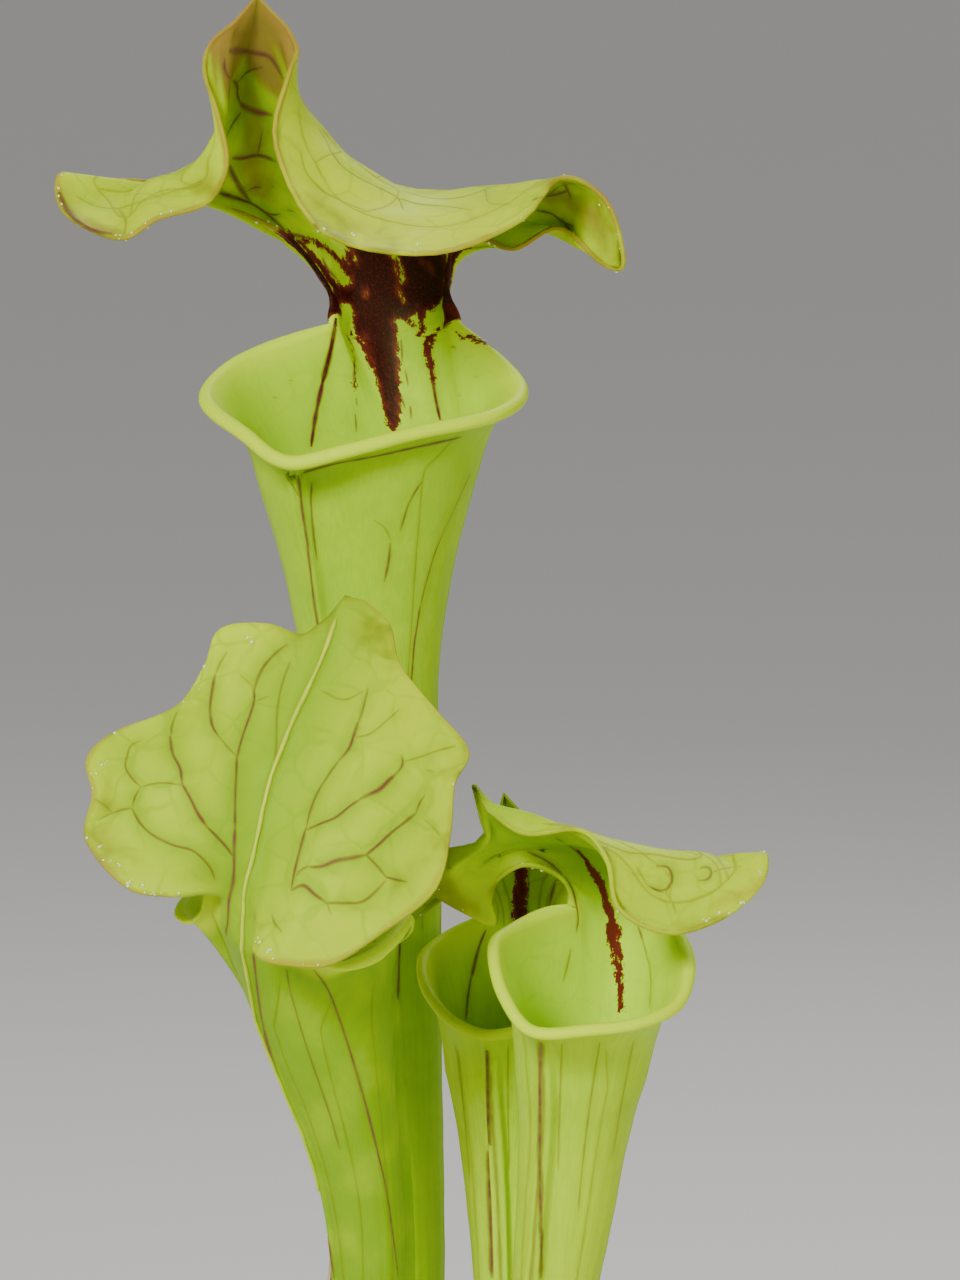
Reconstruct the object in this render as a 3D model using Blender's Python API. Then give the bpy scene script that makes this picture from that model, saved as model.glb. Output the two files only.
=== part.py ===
"""Yellow pitcher plant in a round pot: four pitcher leaves, a dry leaf, rhizome, growing medium and pot.

Each pitcher is one leaf: a sheet that closes into a tube below, opens at a rolled lip, and runs on at the
back as a narrow neck that spreads into a waved lid. Run with: blender --background --python part.py
Lengths are in millimetres until a mesh is made; the mesh is in metres, +Z up, the viewer stands at -Y.
"""

import math

import bpy
import numpy as np

MM = 0.001

# The pot and what fills it
POT_HEIGHT = 115.0
POT_TOP_RADIUS = 65.0
POT_FOOT_RADIUS = 47.0
POT_WALL = 2.2
POT_FLOOR = 3.0
RIM_HEIGHT = 14.0
RIM_PROUD = 2.5
RIM_ROUND = 1.0
RIM_DROP = 0.6
DRAIN_RADIUS = 4.0
DRAIN_RING = 34.0
DRAIN_COUNT = 6
DRAIN_START = math.radians(26.3)
SOIL_TOP = 104.0
SOIL_MOUND = 3.5
LEAF_FOOT = 95.0
GAP = 0.3
ROUND_STEPS = 48

# The eye that the outlines are given for: it looks a little down on the plant
EYE_PITCH = math.radians(8.0)
EYE_DISTANCE = 1100.0
PICTURE_BOTTOM = 290.0
PICTURE_CENTRE = (6.0, 128.0)

# The leaf blade
BLADE = 0.9
LIP_TURN = math.radians(205.0)
LIP_BACK_SHARE = 0.35
LIP_BACK_REACH = 0.2
EDGE_RADIUS = 2.2
EDGE_TURN = math.radians(22.0)
WING_HEIGHT = 2.4
WING_HALF = 1.9
WING_CREST = 0.45
KEEL_HEIGHT = 0.55
KEEL_HALF = 1.3
KEEL_FULL_REACH = 20.0
RIDGE_FADE_ROWS = 3.0
SHOULDER = math.radians(30.0)

# The creeping stem that the leaves rise from, half sunk in the medium
RHIZOME_CENTRE = (-2.0, 0.5, 104.0)
RHIZOME_HALF = (26.0, 6.6, 6.6)
RHIZOME_ROWS = 14
RHIZOME_STEPS = 12

# The withered leaf
DRY_LEAF_FOOT = (-28.0, 13.0)
DRY_LEAF_TIP = (-25.6, 6.6, 15.0)
DRY_LEAF_WIDTH = 5.6
DRY_LEAF_THICK = 1.2
DRY_LEAF_TROUGH = 0.22
DRY_LEAF_BOW = (-3.0, 2.0, 0.0)
DRY_LEAF_CURL = (2.0, -3.5, -1.0)
DRY_LEAF_TURN = (math.radians(20.0), math.radians(50.0))
DRY_LEAF_ROWS = 14

# The mesh of one pitcher leaf
BACK_STEPS = 12
FRONT_STEPS = 20
TUBE_ROWS = 10
FLARE_ROWS = 3
HOOD_ROWS = 25
EDGE_ROWS = 2
EDGE_EVENING = 6
FLOOR_ROW = 3
NEAR_KEEL = (1.3,)
NEAR_SEAM = (0.9, 2.1)
NEAR_SHARE = 0.12
CURVE_STEPS = 240
FLARE_SAG = 0.25
FAR_OFF = 99.0


def clear_scene():
    for thing in list(bpy.data.objects):
        bpy.data.objects.remove(thing, do_unlink=True)


def material(name, colour, roughness, metallic=0.0):
    made = bpy.data.materials.new(name)
    made.use_nodes = True
    shader = made.node_tree.nodes["Principled BSDF"]
    shader.inputs["Base Color"].default_value = (*colour, 1.0)
    shader.inputs["Roughness"].default_value = roughness
    shader.inputs["Metallic"].default_value = metallic
    return made


def add_object(name, points, faces, finish):
    """Makes one mesh object from points in millimetres."""
    mesh = bpy.data.meshes.new(name)
    mesh.from_pydata([tuple(float(v) * MM for v in p) for p in points], [], faces)
    mesh.update()
    mesh.materials.append(finish)
    made = bpy.data.objects.new(name, mesh)
    bpy.context.scene.collection.objects.link(made)
    return made


def seen(across, up, away):
    """The point at depth away that the eye sees at (across, up) in the picture plane."""
    down = math.sin(EYE_PITCH)
    level = math.cos(EYE_PITCH)
    centre_across, centre_up = PICTURE_CENTRE
    eye = np.array([centre_across, -EYE_DISTANCE * level, PICTURE_BOTTOM + centre_up + EYE_DISTANCE * down])
    rise = up - centre_up
    target = np.array([across, rise * down, PICTURE_BOTTOM + centre_up + rise * level])
    ray = target - eye
    return eye + ray * ((away - eye[1]) / ray[1])


def smooth(points, places, wanted):
    """Samples the smooth curve that passes through points at places."""
    points = np.asarray(points, float)
    places = np.asarray(places, float)
    wanted = np.clip(wanted, places[0], places[-1])
    steps = np.diff(places)
    slopes = np.diff(points, axis=0) / steps.reshape((-1,) + (1,) * (points.ndim - 1))
    tangents = np.empty_like(points)
    tangents[0] = slopes[0]
    tangents[-1] = slopes[-1]
    for i in range(1, len(points) - 1):
        share = steps[i - 1] / (steps[i - 1] + steps[i])
        tangents[i] = slopes[i - 1] * (1.0 - share) + slopes[i] * share
    at = np.clip(np.searchsorted(places, wanted, side="right") - 1, 0, len(steps) - 1)
    shape = (-1,) + (1,) * (points.ndim - 1)
    step = steps[at].reshape(shape)
    u = ((wanted - places[at]) / steps[at]).reshape(shape)
    start, end = points[at], points[at + 1]
    leave, arrive = tangents[at] * step, tangents[at + 1] * step
    return (
        start * (2 * u**3 - 3 * u**2 + 1)
        + leave * (u**3 - 2 * u**2 + u)
        + end * (3 * u**2 - 2 * u**3)
        + arrive * (u**3 - u**2)
    )


def lengths(points):
    """The distance run along a polyline up to each of its points."""
    runs = np.linalg.norm(np.diff(points, axis=0), axis=1)
    return np.concatenate([[0.0], np.cumsum(runs)])


def ease(low, high, value):
    u = np.clip((value - low) / (high - low), 0.0, 1.0)
    return u * u * (3.0 - 2.0 * u)


def offsets(total, near, steps):
    """Distances from a centre line: a few close to it, then even ones up to total."""
    close = [min(d, total * NEAR_SHARE * (i + 1)) for i, d in enumerate(near)]
    rest = np.linspace(close[-1], total, steps - len(near) + 1)[1:]
    return np.array(close + list(rest))


def split_row(curve, middle, near, steps):
    """Places columns along a dense curve, closer together beside its middle point."""
    run = lengths(curve)
    before = offsets(run[middle], near, steps)
    after = offsets(run[-1] - run[middle], near, steps)
    places = np.concatenate([run[middle] - before[::-1], [run[middle]], run[middle] + after])
    return np.stack([np.interp(places, run, curve[:, k]) for k in range(3)], axis=1), places - run[middle]


def tube_ring(centre, radius, heading):
    """One ring of the tube: its back columns first, then the front ones, from the right shoulder round."""
    half_back = offsets(SHOULDER * radius, NEAR_KEEL, BACK_STEPS // 2)
    half_front = offsets((math.pi - SHOULDER) * radius, NEAR_SEAM, FRONT_STEPS // 2)
    back = np.concatenate([-half_back[::-1], [0.0], half_back]) / radius
    front = np.concatenate([-half_front[::-1], [0.0], half_front])[1:-1] / radius + math.pi
    turn = heading + np.concatenate([back, front])
    reach = radius * np.stack([np.sin(turn), np.cos(turn), np.zeros_like(turn)], axis=1)
    return centre + reach


def seam_offsets(radius):
    """Signed distance of each ring column from the front seam, far values on the back columns."""
    half_front = offsets((math.pi - SHOULDER) * radius, NEAR_SEAM, FRONT_STEPS // 2)
    front = np.concatenate([-half_front[::-1], [0.0], half_front])[1:-1]
    return np.concatenate([np.full(BACK_STEPS + 1, FAR_OFF), front])


def keel_offsets(radius):
    half_back = offsets(SHOULDER * radius, NEAR_KEEL, BACK_STEPS // 2)
    back = np.concatenate([-half_back[::-1], [0.0], half_back])
    return np.concatenate([back, np.full(FRONT_STEPS - 1, FAR_OFF)])


def hood_line(points, wanted):
    """One lengthwise line of the neck and lid, sampled at wanted shares of its way from shoulder to tip."""
    way = np.linspace(0.0, 1.0, len(points))
    return smooth([seen(*p) for p in points], way, wanted)


def hood_rows(lines, middle, rows):
    """The rows of the neck and lid, from the shoulders to just short of the tip."""
    wanted = np.linspace(0.0, 1.0, rows + 1)
    sampled = np.stack([hood_line(line, wanted) for line in lines], axis=1)
    made, sides = [], []
    for across in sampled:
        run = lengths(across)
        dense = np.unique(np.concatenate([np.linspace(0.0, run[-1], CURVE_STEPS), [run[middle]]]))
        curve = smooth(across, run, dense)
        at = int(np.argmin(np.abs(dense - run[middle])))
        row, side = split_row(curve, at, NEAR_KEEL, BACK_STEPS // 2)
        made.append(row)
        sides.append(side)
    return made, sides


def lip_ring(first_row, lip, spout):
    """The lip: the shoulder row at the back, then the front columns placed along the lip's own points."""
    points = np.array([first_row[-1]] + [seen(*p) for p in lip] + [first_row[0]])
    run = lengths(points)
    dense = np.unique(np.concatenate([np.linspace(0.0, run[-1], CURVE_STEPS), [run[spout + 1]]]))
    curve = smooth(points, run, dense)
    at = int(np.argmin(np.abs(dense - run[spout + 1])))
    front = split_row(curve, at, NEAR_SEAM, FRONT_STEPS // 2)[0]
    return np.concatenate([first_row, front[1:-1]])


def leaf_rows(plan):
    """All rows of one pitcher leaf, tube rings first, then the neck and lid."""
    stations = plan["tube"]
    places = np.array([seen(a, u, w)[2] if u is not None else z for a, u, w, r, z in stations])
    centres = np.array([seen(a, u, w) if u is not None else (a, w, z) for a, u, w, r, z in stations])
    radii = np.array([s[3] for s in stations])
    heights = np.linspace(places[0], places[-1], TUBE_ROWS + 1)
    centre = smooth(centres, places, heights)
    radius = smooth(radii[:, None], places, heights)[:, 0]
    rings = [tube_ring(c, r, plan["heading"]) for c, r in zip(centre, radius)]
    hood, sides = hood_rows(plan["hood"], plan["midrib"], HOOD_ROWS)
    lip = lip_ring(hood[0], plan["lip"], plan["spout"])
    spread = np.arange(BACK_STEPS + FRONT_STEPS)
    into = np.minimum(spread - BACK_STEPS, BACK_STEPS + FRONT_STEPS - spread) / (FRONT_STEPS / 2.0)
    straight, power, full = plan["flare"]
    front_share = ease(0.0, full, np.where(spread > BACK_STEPS, into, 0.0))[:, None]
    below = rings[-1]
    for i in range(1, FLARE_ROWS + 1):
        u = i / (FLARE_ROWS + 1.0)
        flare = (straight * u + (1.0 - straight) * u**power) * front_share + u * (1.0 - front_share)
        level = u * (1.0 - front_share) + (FLARE_SAG * u**2 + (1.0 - FLARE_SAG) * u) * front_share
        middle = below + (lip - below) * flare
        middle[:, 2:] = below[:, 2:] + (lip - below)[:, 2:] * level
        rings.append(middle)
    rings.append(lip)
    return rings, radius, hood, sides


def face_normals(points, faces):
    corner = points[faces]
    return np.cross(corner[:, 1] - corner[:, 0], corner[:, 2] - corner[:, 0])


def point_normals(points, faces):
    across = face_normals(points, faces)
    total = np.zeros_like(points)
    for k in range(3):
        np.add.at(total, faces[:, k], across)
    return total / np.maximum(np.linalg.norm(total, axis=1, keepdims=True), 1e-12)


def split_quad(points, a, b, c, d):
    """Two triangles of a quad, cut along its shorter diagonal."""
    if np.linalg.norm(points[a] - points[c]) <= np.linalg.norm(points[b] - points[d]):
        return [(a, b, c), (a, c, d)]
    return [(a, b, d), (b, c, d)]


def unit(v):
    return v / np.maximum(np.linalg.norm(v, axis=-1, keepdims=True), 1e-12)


def leaf_sheet(plan):
    """The leaf's middle surface: its points and faces, and where each ring and row lies among the points."""
    rings, radius, hood, sides = leaf_rows(plan)
    columns = BACK_STEPS + FRONT_STEPS
    points = [p for ring in rings for p in ring]
    ring_at = [[r * columns + c for c in range(columns)] for r in range(len(rings))]
    hood_at = [ring_at[-1][: BACK_STEPS + 1]]
    for row in hood[1:]:
        hood_at.append(list(range(len(points), len(points) + BACK_STEPS + 1)))
        points.extend(row)
    tip = len(points)
    points.append(seen(*plan["tip"]))
    points = np.array(points)
    faces = []
    for low, high in zip(ring_at, ring_at[1:]):
        for c in range(columns):
            d = (c + 1) % columns
            faces += split_quad(points, low[c], high[c], high[d], low[d])
    for low, high in zip(hood_at, hood_at[1:]):
        for c in range(BACK_STEPS):
            faces += split_quad(points, low[c], high[c], high[c + 1], low[c + 1])
    for c in range(BACK_STEPS):
        faces.append((hood_at[-1][c], tip, hood_at[-1][c + 1]))
    return {
        "points": points,
        "faces": np.array(faces),
        "rings": ring_at,
        "hood": hood_at,
        "tip": tip,
        "radius": radius,
        "sides": sides,
    }


def free_edge(sheet):
    """The open edge, round the lip, up one margin and down the other, and its inner neighbours."""
    rings, hood = sheet["rings"], sheet["hood"]
    edge = rings[-1][BACK_STEPS:] + [rings[-1][0]]
    edge += [row[0] for row in hood[1:]] + [sheet["tip"]] + [row[-1] for row in hood[:0:-1]]
    inside = rings[-2][BACK_STEPS:] + [rings[-2][0]]
    inside += [row[1] for row in hood[1:]] + [hood[-2][BACK_STEPS // 2]] + [row[-2] for row in hood[:0:-1]]
    return edge, inside


def lip_share(plan, count):
    """How much of the lip's tight roll each point of the edge takes: 1 in front, fading towards the neck."""
    place = np.arange(FRONT_STEPS + 1) / FRONT_STEPS
    side = (count - FRONT_STEPS - 2) // 2
    lip = ease(0.0, LIP_BACK_REACH, np.minimum(place, 1.0 - place))
    lip = LIP_BACK_SHARE + (1.0 - LIP_BACK_SHARE) * lip
    neck = LIP_BACK_SHARE * (1.0 - ease(0.0, plan["neck_end"], np.arange(1, side + 1) / side))
    return np.concatenate([lip, neck, [0.0], neck[::-1]])


def roll_edge(sheet, plan):
    """Rolls the lip and the neck's margins outward into a bead and turns the lid's margin a little."""
    points, faces = sheet["points"], sheet["faces"]
    edge, inside = free_edge(sheet)
    normal = point_normals(points, faces)[edge]
    rim = points[edge]
    along = unit(np.roll(rim, -1, axis=0) - np.roll(rim, 1, axis=0))
    outward = rim - points[inside]
    outward -= along * np.sum(outward * along, axis=1, keepdims=True)
    outward = unit(outward)
    for _ in range(EDGE_EVENING):
        outward = unit(outward * 2 + np.roll(outward, 1, axis=0) + np.roll(outward, -1, axis=0))
        normal = unit(normal * 2 + np.roll(normal, 1, axis=0) + np.roll(normal, -1, axis=0))
    share = lip_share(plan, len(edge))[:, None]
    bend = EDGE_RADIUS + (plan["bead"] - EDGE_RADIUS) * share
    turn = EDGE_TURN + (LIP_TURN - EDGE_TURN) * share
    previous = edge
    for k in range(1, EDGE_ROWS + 1):
        angle = turn * k / EDGE_ROWS
        ring = rim + bend * (np.sin(angle) * outward + (1.0 - np.cos(angle)) * normal)
        here = list(range(len(points), len(points) + len(edge)))
        points = np.concatenate([points, ring])
        more = []
        for i in range(len(edge)):
            j = (i + 1) % len(edge)
            more += split_quad(points, previous[j], previous[i], here[i], here[j])
        faces = np.concatenate([faces, np.array(more)])
        previous = here
    sheet["points"], sheet["faces"] = points, faces
    return previous


def ridges(sheet):
    """How far the outer skin stands out: a wing down the front seam, a keel down the back and the lid."""
    height = np.zeros(len(sheet["points"]))
    rings, radius = sheet["rings"], sheet["radius"]
    for r, ring in enumerate(rings):
        size = radius[min(r, len(radius) - 1)]
        rising = 1.0 - ease(len(radius) - 1.0, len(rings) - 1.0, float(r))
        footing = ease(0.0, RIDGE_FADE_ROWS, float(r))
        seam = np.abs(seam_offsets(size))
        wing = WING_HEIGHT * rising * (1.0 - ease(WING_HALF * WING_CREST, WING_HALF, seam))
        keel = KEEL_HEIGHT * (1.0 - ease(0.0, KEEL_HALF, np.abs(keel_offsets(size))))
        height[ring] = footing * (wing + keel)
    for row, side in zip(sheet["hood"][1:], sheet["sides"][1:]):
        reach = abs(side[0]) + abs(side[-1])
        fade = min(1.0, reach / KEEL_FULL_REACH)
        height[row] = KEEL_HEIGHT * fade * (1.0 - ease(0.0, KEEL_HALF, np.abs(side)))
    return height


def pitcher_leaf(name, plan, finish):
    """One pitcher leaf as a closed blade: an outer and an inner skin, joined round the free edge."""
    sheet = leaf_sheet(plan)
    free = roll_edge(sheet, plan)
    points, faces = sheet["points"], sheet["faces"]
    normal = point_normals(points, faces)
    outer = points + normal * (BLADE / 2 + ridges(sheet)[:, None])
    inner = points - normal * BLADE / 2

    # The inner skin begins at the floor of the hollow, some rows above the leaf's foot
    base, floor = sheet["rings"][0], sheet["rings"][FLOOR_ROW]
    hollow = np.setdiff1d(np.arange(len(points)), np.ravel(sheet["rings"][:FLOOR_ROW]))
    where = {int(i): len(points) + k for k, i in enumerate(hollow)}
    made_of = list(outer) + [inner[i] for i in hollow]
    solid = [(int(a), int(b), int(c)) for a, b, c in faces]
    for a, b, c in faces:
        if int(a) in where and int(b) in where and int(c) in where:
            solid.append((where[int(c)], where[int(b)], where[int(a)]))
    for i in range(len(free)):
        a, b = int(free[i]), int(free[(i + 1) % len(free)])
        solid.append((b, a, where[a]))
        solid.append((b, where[a], where[b]))
    foot, bowl = len(made_of), len(made_of) + 1
    made_of += [outer[base].mean(axis=0), inner[floor].mean(axis=0)]
    for c in range(len(base)):
        d = (c + 1) % len(base)
        solid.append((base[c], base[d], foot))
        solid.append((where[floor[d]], where[floor[c]], bowl))
    made = add_object(name, made_of, solid, finish)
    made.data.shade_smooth()


# The four pitchers. A tube station is (across, up, away, radius, height): with a height, its up is None and
# it is placed by height alone. The flare from the last station out to the lip has a straight share, the power
# of the rest, and how far round the front it is fully in. Hood lines run from the shoulder to the tip, first
# the line on the left of a leaf that faces the viewer.
TALL = {
    "heading": math.radians(36),
    "spout": 5,
    "midrib": 3,
    "neck_end": 0.09,
    "bead": 1.1,
    "flare": (0.3, 2.4, 0.6),
    "tube": [
        (-8, None, 20, 5.6, LEAF_FOOT), (-8, None, 20.5, 4.6, 118), (-8, None, 23, 4.9, 170),
        (-8, None, 29, 5.8, 240), (-7.8, 0, 32, 6.6, None), (-10.4, 56, 34, 8.6, None),
        (-12.6, 96, 34, 10.8, None), (-15.6, 122, 33, 13.4, None), (-16.4, 144, 32, 17.4, None),
        (-16.6, 164, 31.5, 23.1, None),
    ],
    "lip": [
        (8.5, 184, 46), (13.2, 178, 31), (8, 173.5, 15), (-8, 170, 5), (-22, 166.5, 1), (-31.5, 164.5, 2),
        (-40.5, 170, 12), (-48, 176.8, 28), (-43, 182.6, 43),
    ],
    "hood": [
        [
            (-22.4, 190, 52), (-23.2, 196, 55), (-26.6, 202, 52), (-33, 209, 47), (-43, 213.6, 44),
            (-58, 218.8, 37), (-71, 219.8, 29), (-78, 220.8, 23.5), (-76.6, 213.4, 18), (-66, 208.4, 10),
            (-58.6, 212.4, 12), (-48.8, 215.6, 16), (-44.9, 223, 20), (-46.4, 232.5, 23), (-48.9, 241.4, 25),
            (-47.6, 247, 26.5), (-43, 251.2, 28),
        ],
        [
            (-21.8, 189.4, 54), (-21.8, 196.5, 58), (-28, 208, 53), (-46, 217.4, 43), (-62, 218.6, 30),
            (-51, 220.4, 22), (-45.6, 231, 27), (-43.6, 249, 29),
        ],
        [
            (-20.5, 188.5, 57), (-20, 196.5, 60), (-24.5, 208.5, 57), (-37, 216.4, 50), (-47.2, 221.4, 38),
            (-45.4, 228.4, 32), (-44.4, 238.6, 32), (-42, 249.4, 31),
        ],
        [
            (-12.4, 187.5, 60), (-12.8, 197, 62), (-16, 208.5, 60), (-22, 216, 57), (-30, 223, 51),
            (-37, 231.5, 45), (-40.2, 241, 39), (-39.6, 249.6, 34),
        ],
        [
            (-4.6, 188.5, 57), (-5, 196.5, 60), (-6, 208.5, 57), (-3, 216, 53), (-3.6, 217.2, 45),
            (-18, 220.6, 40), (-29, 234.6, 33), (-35, 250.2, 31),
        ],
        [
            (-1.2, 189.6, 54), (-2.2, 196.5, 58), (0, 208, 53), (14, 214.6, 44), (19, 219.6, 34),
            (-6, 216.6, 28),
            (-28, 231.4, 26), (-33.4, 250.2, 29),
        ],
        [
            (0, 190.4, 52), (-0.9, 196, 55), (-0.4, 202.4, 52), (1.6, 208, 47), (8, 207.6, 42),
            (13.2, 206.2, 36), (22, 210.4, 33), (30.4, 203.4, 25), (34.6, 203.4, 20), (31.2, 215.6, 21),
            (22, 220.4, 19), (13.4, 211.6, 10), (-4, 205.4, 3), (-25, 209.6, 5), (-34.6, 227, 14),
            (-32.2, 240.6, 21), (-30.6, 245.4, 25), (-32.6, 250.2, 28),
        ],
    ],
    "tip": (-38.6, 256.5, 28),
}

LEFT = {
    "heading": math.radians(-114),
    "spout": 5,
    "midrib": 2,
    "neck_end": 0.16,
    "bead": 0.95,
    "flare": (0.1, 3.2, 0.35),
    "tube": [
        (-16, None, -13, 5.2, LEAF_FOOT), (-16, None, -13, 4.4, 118), (-16, None, -14, 4.7, 170),
        (-16.2, None, -17, 5.8, 240), (-16.2, 0, -20, 6.8, None), (-17.4, 16, -22, 7.6, None),
        (-20.4, 32, -25, 9.4, None), (-23.4, 44, -28, 11.6, None), (-25.4, 53, -30, 13.2, None),
    ],
    "lip": [
        (-49.4, 71.4, -40), (-52.2, 73, -36), (-51.6, 76, -30), (-45.5, 75.5, -21), (-33, 69, -11.5), (-18, 66, -13), (-10.4, 69.5, -22),
        (-9.6, 72.4, -33), (-12, 69, -43), (-17, 65, -49), (-24, 62.8, -52),
    ],
    "hood": [
        [
            (-31, 66, -51), (-33.8, 70.4, -53), (-37, 70.2, -57), (-39, 67.4, -61), (-37.4, 64.8, -64),
            (-32, 63.6, -65.5), (-24, 63.8, -65), (-14, 70, -62), (-3.6, 78.4, -56), (-0.6, 89.6, -50.5),
            (0.2, 99.2, -46.5), (3, 105.8, -44), (-3.6, 113.8, -38.5), (-10.6, 122.6, -33),
            (-12.6, 130.4, -29),
            (-17, 135.2, -26),
        ],
        [
            (-35.5, 65.8, -52), (-38.4, 74, -55), (-33, 76.4, -59), (-22, 85, -58.5), (-15.6, 100, -51),
            (-16.4, 116, -40), (-19, 134.4, -27.5),
        ],
        [
            (-41, 67, -49.5), (-40.2, 78, -51), (-38.6, 88.4, -49.5), (-35.6, 100.4, -46),
            (-31.6, 111, -41), (-26.6, 121.6, -34.5), (-21.6, 134, -27.5),
        ],
        [
            (-44.4, 70, -46.5), (-43.8, 78.4, -48.5), (-47.6, 85.6, -52), (-55, 96, -51), (-50, 108, -44),
            (-37.6, 121.6, -35), (-23.2, 133, -27),
        ],
        [
            (-47.2, 73.6, -41), (-46.8, 78.8, -44), (-50, 77.6, -49), (-56, 77.4, -52), (-64.4, 79.2, -51),
            (-72.2, 88.4, -47), (-70.8, 97, -42.5), (-72, 104, -39.5), (-66.8, 109, -37),
            (-54.4, 114.2, -36),
            (-48.6, 122.4, -33), (-45.6, 129.6, -30), (-36.8, 130.6, -29), (-29.4, 128.6, -27.5),
            (-24.4, 132, -25.5),
        ],
    ],
    "tip": (-21, 136.4, -24),
}

RIGHT = {
    "heading": math.radians(30),
    "spout": 6,
    "midrib": 3,
    "neck_end": 0.16,
    "bead": 0.85,
    "flare": (0.15, 3.0, 0.6),
    "tube": [
        (15, None, -14, 5.4, LEAF_FOOT), (15, None, -14, 4.6, 118), (15.6, None, -14.5, 5.2, 170),
        (18.4, None, -16.5, 6.8, 240), (21.2, 0, -18, 8.2, None), (22.8, 12, -20, 9.2, None),
        (24.2, 24, -22, 10, None), (25.4, 34, -24, 11.2, None), (26.2, 41, -26, 12.6, None),
    ],
    "lip": [
        (43, 69.6, -22), (45.8, 66, -29), (46.8, 61.6, -36), (44.8, 55.6, -44), (38, 52.2, -50),
        (28, 50.8, -52.5), (16.2, 50.8, -51), (11.6, 57, -46), (9.8, 63, -40), (10, 67.6, -33),
        (14.2, 70, -26.5), (20.4, 72.4, -21.5),
    ],
    "hood": [
        [
            (25.8, 73.8, -18.5), (25, 77.6, -19), (21.2, 81.2, -21), (14.8, 83, -24), (9.2, 80, -27),
            (8, 75, -28), (8.8, 71.6, -28), (3.6, 73.8, -30), (-3.4, 78, -29), (-5.2, 82.4, -29),
            (0, 86, -31), (7.2, 87, -33), (6.4, 93, -35),
        ],
        [
            (27.4, 72.8, -16.5), (26.6, 78.2, -17.5), (14, 86, -24), (4, 80.6, -30), (1, 82.6, -33),
            (7.6, 87.6, -33.5), (6.8, 93.4, -35.2),
        ],
        [
            (29.2, 72, -15), (28.4, 78.4, -16), (22, 85.6, -20), (12, 86.4, -25), (9.4, 87, -29),
            (8.6, 89.6, -32.5), (7.2, 94, -35.5),
        ],
        [
            (32.8, 71, -13), (30.8, 78.4, -14), (27.6, 86, -18), (20.4, 87.6, -24), (14, 88.4, -29),
            (10.2, 91.2, -33), (7.6, 94.6, -36),
        ],
        [
            (36.4, 70.8, -14), (35.6, 78, -15), (35.6, 85, -19), (38, 84.8, -27), (28, 89.4, -32),
            (16, 92, -34.5), (7.9, 95.2, -36.4),
        ],
        [
            (38.8, 70.6, -15.5), (38.4, 77.4, -17), (44, 83.6, -22), (52, 84.8, -30), (39, 82.6, -38),
            (23, 90.4, -37.5), (8.2, 95.2, -36.9),
        ],
        [
            (40.4, 70.8, -17), (40, 76, -18), (42.4, 78.4, -20), (50, 80, -23), (58.4, 83.2, -28),
            (62.6, 85, -34), (61.6, 79, -41), (54, 72.6, -45), (43.6, 69.8, -47), (34, 74.4, -46),
            (31.4, 83.8, -43), (26, 90, -41), (15.2, 89.6, -39.5), (8, 94, -37.6),
        ],
    ],
    "tip": (5, 98.8, -37),
}

REAR = {
    "heading": math.radians(13),
    "spout": 5,
    "midrib": 2,
    "neck_end": 0.2,
    "bead": 0.8,
    "flare": (0.2, 2.8, 0.6),
    "tube": [
        (11, None, 14, 5.2, LEAF_FOOT), (11, None, 14, 4.5, 118), (11.2, None, 12, 5, 170),
        (12, None, 8.5, 6.4, 240), (12.4, 0, 7, 7.4, None), (12, 20, 9, 9, None),
        (11.6, 34, 11, 10.6, None), (11.4, 42, 12, 12.2, None),
    ],
    "lip": [
        (25, 69.2, 23), (28.4, 65, 15), (28, 59, 7), (22, 52.6, -2), (14, 50.4, -6), (7.2, 49.6, -6),
        (1.6, 51.8, -3.5), (-2.8, 56.4, 3), (-4.8, 62, 12), (-3.6, 65.4, 20), (1, 68.4, 25),
    ],
    "hood": [
        [
            (6.8, 71.2, 27), (7.6, 76, 26), (5.2, 79.2, 23), (1, 78, 19), (-4, 75, 15), (-8, 72.4, 11),
            (-6.8, 76.8, 6), (-1, 81, 3), (4.4, 84.4, 2), (7.6, 87.6, 2.5), (9.6, 91.6, 3.5),
        ],
        [
            (10.4, 70.4, 29), (10.6, 76, 29), (8.6, 82, 26.5), (2, 81.5, 18), (3, 84, 10),
            (7.6, 89.6, 6.5), (10.4, 93.4, 4.8),
        ],
        [
            (14, 69.6, 30), (13.6, 76, 30.5), (13, 82.4, 28), (12.6, 86, 23), (12.2, 88.4, 17),
            (11.8, 90.8, 11), (11.4, 93.6, 6),
        ],
        [
            (17.6, 70.2, 29), (17.2, 76, 29), (17.6, 82.6, 26.5), (24, 84, 19), (24, 86.6, 10),
            (18.5, 91, 6), (12.6, 94, 4.6),
        ],
        [
            (22.2, 70.8, 27), (22, 75.6, 26), (23.8, 79, 23), (28, 79.2, 19), (35, 79, 13),
            (39, 80.4, 8), (36, 82.8, 3), (31.2, 85.2, 1), (26, 88.4, 0), (21.2, 90.8, 0), (14.6, 92.8, 2),
        ],
    ],
    "tip": (10.8, 97.2, 3),
}


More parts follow.
